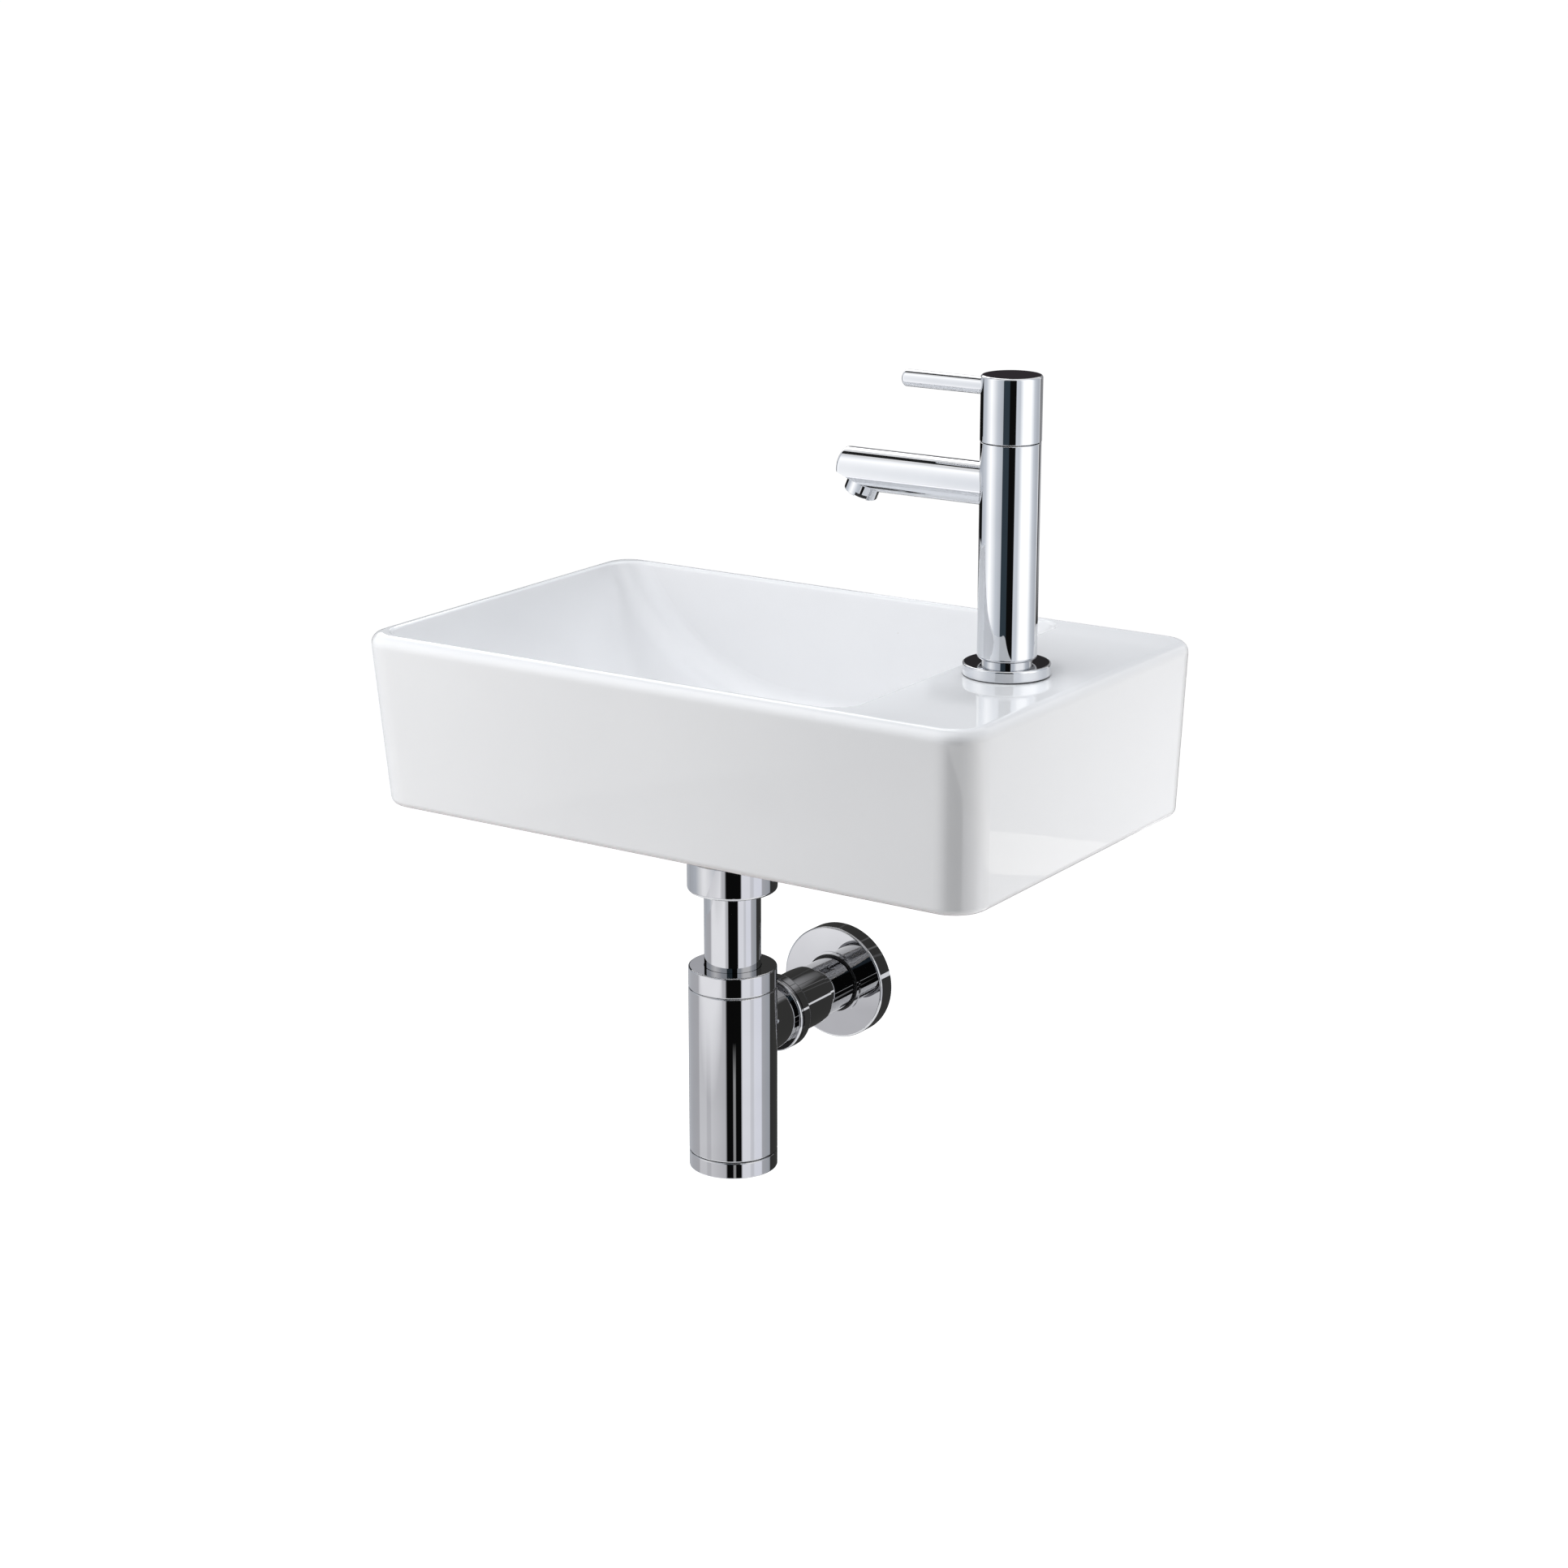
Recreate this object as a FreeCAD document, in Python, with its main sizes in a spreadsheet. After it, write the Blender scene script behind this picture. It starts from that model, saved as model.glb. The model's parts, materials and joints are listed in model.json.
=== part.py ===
import FreeCAD, Part
import os
import re

import Sketcher
from FreeCAD import Placement, Rotation, Vector

# Driving sizes, in millimetres and degrees
SIZES = {
    # Clearances
    "overrun": 5,
    "thread_gap": 0.1,
    "running_gap": 0.1,
    "free_gap": 0.3,
    # Ceramic basin
    "basin_width": 385,
    "basin_depth": 243,
    "basin_height": 97,
    "left_draft": 4,
    "right_draft": 5,
    "front_draft": 9,
    "front_corner_radius": 20,
    "back_corner_radius": 18,
    "rim_outer_radius": 6,
    "foot_radius": 4,
    "rim_wall": 9,
    "rim_inner_radius": 2.2,
    "deck_width": 77,
    "deck_wall": 12,
    "skirt_wall": 11,
    "skirt_inner_radius": 8,
    "shell_wall": 10,
    "bowl_floor_rise": 19,
    "bowl_floor_width": 37,
    "bowl_corner_radius": 17,
    "bowl_back_lean": 5,
    "dish_depth": 3,
    "dish_run": 10,
    "dish_rise": 6,
    "fixing_spacing": 280,
    "fixing_hole_dia": 14,
    "fixing_above_foot": 20,
    # Waste
    "waste_from_wall": 115,
    "waste_hole_dia": 46,
    "waste_seat_dia": 66,
    "waste_seat_depth": 2.5,
    "waste_boss_dia": 86,
    "waste_boss_wall": 10,
    "waste_gasket_height": 1.5,
    "waste_flange_dia": 63,
    "waste_flange_height": 3,
    "waste_flange_round": 1.2,
    "waste_funnel": 2,
    "waste_tail_dia": 41.8,
    "waste_bore_dia": 37,
    "waste_tail_length": 61.8,
    "spider_width": 4,
    "spider_height": 5,
    "spider_hub_dia": 10,
    "cover_dia": 50,
    "cover_height": 5,
    "cover_rise": 8.5,
    "cover_round": 3.5,
    "cover_screw_dia": 5,
    "cover_screw_grip": 6,
    "cover_screw_head_dia": 8.4,
    "cover_screw_head_height": 2.4,
    "screw_slot_width": 1.2,
    "waste_washer_dia": 62,
    "waste_rubber_height": 4,
    "waste_slip_height": 1.5,
    "waste_nut_flats": 52,
    "waste_nut_height": 9,
    # Trap inlet
    "tube_dia": 32,
    "tube_wall": 1.2,
    "inlet_washer_height": 2.5,
    "inlet_collar_dia": 41,
    "inlet_collar_height": 1.5,
    "inlet_nut_dia": 50.6,
    "inlet_nut_height": 18.5,
    "inlet_nut_wall": 2.5,
    "inlet_nut_round": 2,
    "inlet_tube_shown": 44.7,
    "dip_clearance": 24.5,
    # Trap bottle
    "cup_dia": 50,
    "cup_height": 97.4,
    "cup_wall": 3,
    "cup_top_wall": 6,
    "cup_spigot_dia": 44.8,
    "cup_spigot_height": 6,
    "cup_seat_dia": 41.2,
    "cup_seat_depth": 2,
    "bottle_nut_height": 12.1,
    "bottle_nut_wall": 2.6,
    "bottle_edge_round": 0.8,
    "slip_ring_height": 1.4,
    "seal_taper": 1,
    "cap_height": 9.5,
    "cap_round": 0.6,
    "cap_floor": 3.5,
    "cap_spigot_height": 9,
    "cap_spigot_wall": 3,
    "cap_groove_depth": 1.5,
    "cap_groove_width": 2.2,
    # Trap outlet
    "outlet_drop": 28.9,
    "branch_dia": 38.4,
    "branch_length": 43,
    "branch_seat_dia": 36,
    "branch_seat_depth": 3.5,
    "outlet_nut_dia": 44.2,
    "outlet_nut_length": 10.6,
    "outlet_nut_overlap": 6.4,
    "outlet_nut_round": 1.4,
    "outlet_bead_place": 2.8,
    "outlet_bead_width": 0.8,
    "outlet_bead_depth": 0.7,
    "outlet_slip_room": 1.5,
    "outlet_sleeve_dia": 35.2,
    "outlet_sleeve_length": 28.5,
    "wall_tube_start": 30,
    "wall_tube_entry": 20,
    "wall_entry_dia": 31.6,
    "flange_dia": 67.4,
    "flange_height": 11,
    "flange_wall": 1.5,
    "flange_round": 1.2,
    "flange_lip": 0.8,
    "flange_collar_wall": 1.4,
    "flange_collar_length": 8,
    "flange_seal_wall": 1.2,
    # Tap
    "tap_from_right": 47.5,
    "tap_from_wall": 126,
    "tap_hole_dia": 35,
    "base_ring_dia": 45.8,
    "base_ring_height": 6,
    "base_ring_round": 1,
    "base_seal_land": 0.7,
    "base_seal_width": 3,
    "base_seal_height": 1.6,
    "base_seal_proud": 0.6,
    "tap_dia": 31,
    "tap_height": 114.1,
    "tap_neck_dia": 26,
    "tap_neck_height": 2,
    "tap_lower_round": 2,
    "tap_edge_round": 0.4,
    "tap_waterway_dia": 13,
    "tap_chamber_dia": 21.2,
    "tap_socket_depth": 13,
    "shank_dia": 20.9,
    "shank_bore_dia": 15,
    "shank_below_rim": 58,
    "shank_tail_length": 26,
    "shank_relief_width": 2,
    "shank_relief_depth": 0.8,
    "shank_washer_dia": 38,
    "shank_rubber_height": 3,
    "shank_metal_height": 1.5,
    "shank_nut_flats": 30,
    "shank_nut_height": 8,
    # Spout and aerator
    "spout_dia": 22,
    "spout_height": 91.1,
    "spout_reach": 98.5,
    "spout_tip_drop": 0.5,
    "spout_cut_angle": 24,
    "spout_tip_round": 2.2,
    "spout_bore_dia": 11,
    "spout_spigot_dia": 16,
    "spout_spigot_depth": 3.5,
    "aerator_dia": 18,
    "aerator_shown": 7.2,
    "aerator_setback": 13.3,
    "aerator_thread_dia": 13.5,
    "aerator_thread_length": 6,
    "aerator_wall": 1,
    "aerator_notch_width": 6.5,
    "aerator_notch_depth": 2.5,
    "aerator_notch_angle": 31,
    "aerator_seal_height": 1.2,
    "aerator_seal_width": 1.5,
    "aerator_insert_recess": 0.3,
    "aerator_jet_dia": 2.2,
    "aerator_jet_ring_dia": 8,
    # Valve cartridge
    "valve_depth": 32.7,
    "valve_seal_height": 2.5,
    "valve_sleeve_dia": 20.8,
    "valve_sleeve_wall": 1.6,
    "valve_window_width": 8,
    "valve_hex_flats": 20,
    "valve_hex_height": 5,
    "valve_neck_dia": 14,
    "valve_neck_height": 4,
    "disc_height": 3.5,
    "disc_port_dia": 4.4,
    "disc_port_place": 4.5,
    "spindle_dia": 8,
    "spindle_foot_height": 3.4,
    "spindle_grip": 9,
    "spindle_flat_depth": 0.8,
    "oring_groove_depth": 1,
    "oring_groove_width": 2,
    "oring_drop": 8,
    "clip_dia": 12,
    "clip_height": 0.9,
    "clip_groove_depth": 0.7,
    # Handle
    "handle_gap": 0.4,
    "handle_dia": 31.4,
    "handle_height": 33.5,
    "handle_top_round": 1.2,
    "handle_wall": 2.3,
    "handle_room_height": 12.5,
    "lever_dia": 8.8,
    "lever_below_top": 7,
    "lever_reach": 63,
    "lever_seat": 13.5,
    "lever_tip_round": 2,
    "lever_stud_dia": 6,
    "lever_stud_length": 8,
    "grub_dia": 4,
    "grub_length": 8,
    "grub_socket_flats": 2,
    "grub_socket_depth": 2.5,
    "grub_above_room": 3,
}

# Places worked out from the driving sizes, in the frame of the whole object
PLACES = {
    "rim_z": "basin_height - fixing_above_foot",
    "foot_z": "-fixing_above_foot",
    "bowl_left": "rim_wall - basin_width / 2",
    "bowl_right": "basin_width / 2 - deck_width",
    "bowl_x": "(bowl_left + bowl_right) / 2",
    "bowl_depth": "basin_height - bowl_floor_rise",
    "floor_z": "rim_z - bowl_depth",
    "floor_half": "bowl_floor_width / 2",
    "bowl_reach": "(bowl_right - bowl_left) / 2 - floor_half",
    "bowl_arc": "(bowl_reach ^ 2 + bowl_depth ^ 2) / (2 * bowl_depth)",
    "mouth_z": "rim_z + overrun",
    "mouth_reach": "sqrt(bowl_arc ^ 2 - (bowl_arc - bowl_depth - overrun) ^ 2)",
    "shell_arc": "bowl_arc + shell_wall",
    "shell_reach": "sqrt(shell_arc ^ 2 - (bowl_arc - bowl_depth - overrun) ^ 2)",
    "dish_z": "floor_z - dish_depth",
    "seat_z": "dish_z - waste_seat_depth",
    "boss_z": "seat_z - waste_boss_wall",
    "waste_x": "bowl_x",
    "waste_y": "-waste_from_wall",
    "waste_flange_z": "seat_z + waste_gasket_height",
    "tail_end_z": "waste_flange_z - waste_tail_length",
    "tail_radius": "waste_tail_dia / 2",
    "tube_radius": "tube_dia / 2",
    "tube_bore": "tube_radius - tube_wall",
    "inlet_collar_z": "tail_end_z - inlet_washer_height",
    "inlet_nut_z": "inlet_collar_z - inlet_collar_height - inlet_nut_wall",
    "cup_top_z": "inlet_nut_z - inlet_tube_shown - bottle_nut_height",
    "cup_z": "cup_top_z - cup_height",
    "cup_cavity": "cup_dia / 2 - cup_wall",
    "cup_seal_z": "cup_top_z + cup_spigot_height - cup_seat_depth + running_gap",
    "bottle_slip_z": "cup_top_z + bottle_nut_height - bottle_nut_wall - slip_ring_height - running_gap",
    "cap_spigot": "cup_cavity - free_gap",
    "cap_groove": "cap_spigot - cap_groove_depth",
    "cap_z": "cup_z - free_gap - cap_height",
    "outlet_z": "cup_top_z - outlet_drop",
    "outlet_nut_start": "branch_length - outlet_nut_overlap",
    "outlet_nut_end": "outlet_nut_start + outlet_nut_length",
    "outlet_step": "branch_length + outlet_slip_room",
    "flange_face": "waste_from_wall - flange_height",
    "flange_hole": "tube_radius + flange_seal_wall + 2 * running_gap",
    "tap_x": "basin_width / 2 - tap_from_right",
    "tap_y": "-tap_from_wall",
    "tap_z": "rim_z + base_seal_proud + base_ring_height",
    "tap_top_z": "tap_z + tap_height",
    "spout_z": "tap_z + spout_height",
    "deck_low_z": "rim_z - deck_wall",
    "shank_radius": "shank_dia / 2",
    "base_seal_bore": "tap_hole_dia / 2 + base_seal_land",
    "aerator_x": "tap_x - spout_reach + aerator_setback * cos(spout_cut_angle)",
    "aerator_z": "spout_z - spout_tip_drop - aerator_setback * sin(spout_cut_angle)",
    "aerator_bore": "aerator_thread_dia / 2 - aerator_wall",
    "aerator_cup": "aerator_dia / 2 - aerator_wall",
    "aerator_shoulder": "aerator_thread_length + aerator_wall",
    "valve_z": "tap_top_z - valve_depth",
    "disc_z": "valve_z + valve_seal_height",
    "disc_radius": "valve_sleeve_dia / 2 - valve_sleeve_wall - running_gap",
    "foot_lift": "2 * disc_height + running_gap",
    "valve_room": "foot_lift + spindle_foot_height + free_gap",
    "valve_hex_lift": "valve_depth - valve_seal_height + running_gap",
    "valve_end": "valve_hex_lift + valve_hex_height + valve_neck_height",
    "clip_lift": "valve_end + running_gap",
    "spindle_end": "handle_foot_lift + handle_room_height + spindle_grip",
    "handle_foot_lift": "valve_depth - valve_seal_height + handle_gap",
    "handle_z": "tap_top_z + handle_gap",
    "lever_z": "handle_z + handle_height - lever_below_top",
    "grub_z": "handle_z + handle_room_height + grub_above_room",
    "grub_start": "spindle_dia / 2 - spindle_flat_depth + running_gap",
}

# Ways that a piece's own upright axis can point
UPRIGHT = Rotation()
TO_WALL = Rotation(Vector(1, 0, 0), -90)
TO_LEFT = Rotation(Vector(0, 1, 0), -90)
TO_RIGHT = Rotation(Vector(0, 1, 0), 90)
QUARTER_TURN = Rotation(Vector(0, 0, 1), 90)
HALF_TURN = Rotation(Vector(0, 0, 1), 180)

FULL_TURN = 360
HEX_SIDES = 6
AERATOR_JETS = 6

# Two measures closer than this are the same
SAME = 1e-4
# How much of its length an edge rises to count as steep, or may run along Y to count as running across
STEEP_SHARE = 0.5
ACROSS_SHARE = 0.2

doc = FreeCAD.newDocument("hand_basin")
sheet = doc.addObject("Spreadsheet::Sheet", "Sizes")
for row, (name, size) in enumerate(SIZES.items(), 1):
    sheet.set(f"A{row}", name)
    sheet.set(f"B{row}", str(size))
    sheet.setAlias(f"B{row}", name)
doc.recompute()

pieces = []


def formula(text):
    """Point every name in a formula at its cell, or at the formula that it stands for."""
    def resolve(found):
        word = found.group()
        if word in SIZES:
            return "Sizes." + word
        if word in PLACES:
            return "(" + formula(PLACES[word]) + ")"
        return word
    return re.sub(r"[a-z][a-z_]*", resolve, text)


def measure(text):
    return float(sheet.evalExpression(formula(text)))


def bind(thing, sizes):
    for path, text in sizes.items():
        thing.setExpression(path, formula(text))


def put(thing, x="0", y="0", z="0", turn=UPRIGHT):
    thing.Placement = Placement(Vector(), turn)
    bind(thing, {"Placement.Base.x": x, "Placement.Base.y": y, "Placement.Base.z": z})


def new_body(label, x="0", y="0", z="0", turn=UPRIGHT, is_piece=True):
    body = doc.addObject("PartDesign::Body", label)
    body.Label = label
    put(body, x, y, z, turn)
    if is_piece:
        pieces.append(body)
    return body


def feature(body, kind, name, sizes, x="0", y="0", z="0", turn=UPRIGHT):
    """Add a primitive such as SubtractiveCylinder to a body, at a place in the body's own frame."""
    made = body.newObject("PartDesign::" + kind, body.Label + "_" + name)
    bind(made, sizes)
    put(made, x, y, z, turn)
    return made


def bore(body, name, radius, depth, x="0", y="0", z="0", turn=UPRIGHT):
    return feature(body, "SubtractiveCylinder", name, {"Radius": radius, "Height": depth}, x, y, z, turn)


def boss(body, name, radius, height, x="0", y="0", z="0", turn=UPRIGHT):
    return feature(body, "AdditiveCylinder", name, {"Radius": radius, "Height": height}, x, y, z, turn)


def origin_part(body, role):
    return next(part for part in body.Origin.OriginFeatures if part.Role == role)


def outline(body, name, role, corners):
    """Draw a closed outline: each corner is (across, up), with an arc's centre where an arc starts there."""
    sketch = body.newObject("Sketcher::SketchObject", body.Label + "_" + name)
    sketch.AttachmentSupport = [(origin_part(body, role), "")]
    sketch.MapMode = "FlatFace"
    spots = [Vector(measure(corner[0]), measure(corner[1])) for corner in corners]
    starts, ends = [], []
    for index, corner in enumerate(corners):
        here, there = spots[index], spots[(index + 1) % len(spots)]
        if len(corner) == 2:
            sketch.addGeometry(Part.LineSegment(here, there), False)
            forward = True
        else:
            centre = Vector(measure(corner[2]), measure(corner[3]))
            forward = (here - centre).cross(there - centre).z > 0
            first, last = (here, there) if forward else (there, here)
            middle = (here + there) / 2 - centre
            top = centre + middle * ((here - centre).Length / middle.Length)
            sketch.addGeometry(Part.Arc(first, top, last), False)
        starts.append(1 if forward else 2)
        ends.append(2 if forward else 1)
    for index in range(len(corners)):
        after = (index + 1) % len(corners)
        sketch.addConstraint(Sketcher.Constraint("Coincident", index, ends[index], after, starts[after]))
    for index, corner in enumerate(corners):
        for kind, axis, text in (("DistanceX", -2, corner[0]), ("DistanceY", -1, corner[1])):
            if text == "0":
                sketch.addConstraint(Sketcher.Constraint("PointOnObject", index, starts[index], axis))
                continue
            tie = Sketcher.Constraint(kind, -1, 1, index, starts[index], measure(text))
            bind(sketch, {f"Constraints[{sketch.addConstraint(tie)}]": text})
        if len(corner) == 4:
            radius = f"sqrt((({corner[0]}) - ({corner[2]})) ^ 2 + (({corner[1]}) - ({corner[3]})) ^ 2)"
            tie = Sketcher.Constraint("Radius", index, measure(radius))
            bind(sketch, {f"Constraints[{sketch.addConstraint(tie)}]": radius})
    return sketch


def turned(label, corners, x="0", y="0", z="0", turn=UPRIGHT):
    """A piece turned about its own axis, from an outline of (radius, height) corners."""
    body = new_body(label, x, y, z, turn)
    profile = outline(body, "profile", "XZ_Plane", corners)
    round_form = body.newObject("PartDesign::Revolution", label + "_turned")
    round_form.Profile = profile
    round_form.ReferenceAxis = (profile, ["V_Axis"])
    round_form.Angle = FULL_TURN
    return body


def ring(label, inner, outer, height, x="0", y="0", z="0", turn=UPRIGHT):
    return turned(label, [(inner, "0"), (outer, "0"), (outer, height), (inner, height)], x, y, z, turn)


def hexagon(body, kind, name, flats, height, z="0"):
    """A six-sided prism, given by the width across its flats."""
    prism = feature(body, kind, name, {"Circumradius": f"{flats} / sqrt(3)", "Height": height}, z=z)
    prism.Polygon = HEX_SIDES


def nut(label, flats, height, hole, x, y, z):
    body = new_body(label, x, y, z)
    hexagon(body, "AdditivePrism", "hexagon", flats, height)
    bore(body, "thread", hole, height)


def along_y(body, name, corners):
    """Cut an outline right through a body from front to back."""
    cut = body.newObject("PartDesign::Pocket", body.Label + "_" + name)
    cut.Profile = outline(body, name + "_outline", "XZ_Plane", corners)
    cut.Midplane = True
    bind(cut, {"Length": "2 * (basin_depth + overrun)"})


def rounded(body, radius, wanted, name="round"):
    """Round the edges of a body that a test picks out."""
    doc.recompute()
    base = body.Tip
    edges = [f"Edge{index}" for index, edge in enumerate(base.Shape.Edges, 1) if wanted(edge)]
    if not edges:
        raise ValueError(f"{body.Label}: no edge to round for {name}")
    soft = body.newObject("PartDesign::Fillet", body.Label + "_" + name)
    soft.Base = (base, edges)
    bind(soft, {"Radius": radius})


def near(one, other):
    return abs(one - other) < SAME


def circle_at(radius, height):
    """A test for the round edge of a turned piece at a radius and a height."""
    wide, high = measure(radius), measure(height)

    def wanted(edge):
        box = edge.BoundBox
        return near(box.ZMin, high) and near(box.ZMax, high) and near(box.XMax, wide) and near(box.YMax, wide)
    return wanted


def any_of(*tests):
    return lambda edge: any(test(edge) for test in tests)


def side_at(side, depth, inset="0"):
    """Where a drafted side of the basin stands at a depth below the rim, moved in by an inset."""
    return {
        "left": f"{inset} - basin_width / 2 + left_draft * ({depth}) / basin_height",
        "right": f"basin_width / 2 - {inset} - right_draft * ({depth}) / basin_height",
        "front": f"{inset} - basin_depth + front_draft * ({depth}) / basin_height",
        "back": f"-{inset}",
    }[side]


def tapered(body, name, top_z, low_z, top, low):
    """A block with a top and a bottom rectangle, each given as left, right, front and back."""
    feature(body, "AdditiveWedge", name, {
        "Ymin": f"-({top_z})", "Ymax": f"-({low_z})",
        "Xmin": top[0], "Xmax": top[1], "Zmin": top[2], "Zmax": top[3],
        "X2min": low[0], "X2max": low[1], "Z2min": low[2], "Z2max": low[3],
    }, turn=TO_WALL)


def rises(edge):
    low, high = edge.Vertexes[0].Point, edge.Vertexes[-1].Point
    return abs(high.z - low.z) > STEEP_SHARE * edge.Length


def make_bowl_tool():
    """The hollow of the bowl, from above the rim down to its floor."""
    body = new_body("bowl_tool", is_piece=False)
    left, right = "bowl_x - floor_half - mouth_reach", "bowl_x + floor_half + mouth_reach"
    top = [left, right, side_at("front", "-overrun", "rim_wall"),
           "bowl_back_lean * overrun / bowl_depth - rim_wall"]
    low = [left, right, side_at("front", "bowl_depth", "rim_wall"), "-rim_wall - bowl_back_lean"]
    tapered(body, "block", "mouth_z", "floor_z", top, low)
    for name, edge, floor_end, beyond in (("left", left, "bowl_x - floor_half", f"{left} - overrun"),
                                          ("right", right, "bowl_x + floor_half", f"{right} + overrun")):
        along_y(body, name, [
            (edge, "mouth_z", floor_end, "floor_z + bowl_arc"),
            (floor_end, "floor_z"),
            (floor_end, "floor_z - overrun"),
            (beyond, "floor_z - overrun"),
            (beyond, "mouth_z"),
        ])
    mouth = measure("mouth_z")

    def on_front_or_back(edge):
        return not near(edge.BoundBox.ZMin, mouth) and edge.BoundBox.YLength < ACROSS_SHARE * edge.Length
    rounded(body, "bowl_corner_radius", on_front_or_back)
    return body


def make_hollow_tool():
    """The open space under the basin, inside its skirt and below the shell of the bowl."""
    body = new_body("hollow_tool", is_piece=False)
    sides = ("left", "right", "front", "back")
    top = [side_at(side, "deck_wall", "skirt_wall") for side in sides]
    low = [side_at(side, "basin_height + overrun", "skirt_wall") for side in sides]
    tapered(body, "block", "deck_low_z", "foot_z - overrun", top, low)
    rounded(body, "skirt_inner_radius", rises)
    left, right = "bowl_x - floor_half", "bowl_x + floor_half"
    along_y(body, "shell", [
        (f"{left} - shell_reach", "mouth_z", left, "floor_z + bowl_arc"),
        (left, "floor_z - shell_wall"),
        (right, "floor_z - shell_wall", right, "floor_z + bowl_arc"),
        (f"{right} + shell_reach", "mouth_z"),
    ])
    bore(body, "boss", "waste_boss_dia / 2", "rim_z - boss_z", "waste_x", "waste_y", "boss_z")
    return body


def make_basin():
    body = new_body("basin")
    sides = ("left", "right", "front", "back")
    tapered(body, "block", "rim_z", "foot_z", [side_at(side, "0") for side in sides],
            [side_at(side, "basin_height") for side in sides])
    middle = measure("-basin_depth / 2")

    def at_front(edge):
        return rises(edge) and edge.CenterOfMass.y < middle

    def at_wall(edge):
        return rises(edge) and near(edge.BoundBox.YMax, 0) and near(edge.BoundBox.YMin, 0)
    rounded(body, "front_corner_radius", at_front, "front_corners")
    rounded(body, "back_corner_radius", at_wall, "back_corners")
    rim, foot = measure("rim_z"), measure("foot_z")
    rounded(body, "rim_outer_radius", lambda edge: near(edge.BoundBox.ZMin, rim), "rim")
    rounded(body, "foot_radius", lambda edge: near(edge.BoundBox.ZMax, foot), "foot")
    hollows = body.newObject("PartDesign::Boolean", "basin_hollows")
    hollows.Type = "Cut"
    hollows.setObjects([make_bowl_tool(), make_hollow_tool()])
    body.Tip = hollows
    left, right = measure("bowl_left"), measure("bowl_right")
    front, back = measure(side_at("front", "0", "rim_wall")), measure("-rim_wall")
    slack = measure("(rim_wall - rim_outer_radius) / 2")

    def on_bowl_edge(edge):
        box = edge.BoundBox
        inside = left - slack < box.XMin and box.XMax < right + slack
        between = front - slack < box.YMin and box.YMax < back + slack
        return near(box.ZMin, rim) and near(box.ZMax, rim) and inside and between
    rounded(body, "rim_inner_radius", on_bowl_edge, "bowl_lip")
    seat = "waste_seat_dia / 2"
    dish = {"Radius1": seat, "Radius2": f"{seat} + dish_run", "Height": "dish_rise"}
    feature(body, "SubtractiveCone", "dish", dish, "waste_x", "waste_y", "dish_z")
    bore(body, "waste_seat", seat, "waste_seat_depth + overrun", "waste_x", "waste_y", "seat_z")
    bore(body, "waste_hole", "waste_hole_dia / 2", "bowl_floor_rise + 2 * overrun",
         "waste_x", "waste_y", "foot_z - overrun")
    bore(body, "tap_hole", "tap_hole_dia / 2", "deck_wall + 2 * overrun",
         "tap_x", "tap_y", "deck_low_z - overrun")
    for name, side in (("left", "-1"), ("right", "1")):
        bore(body, name + "_fixing", "fixing_hole_dia / 2", "skirt_wall + 2 * overrun",
             f"{side} * fixing_spacing / 2", "-skirt_wall - overrun", "0", TO_WALL)


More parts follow.
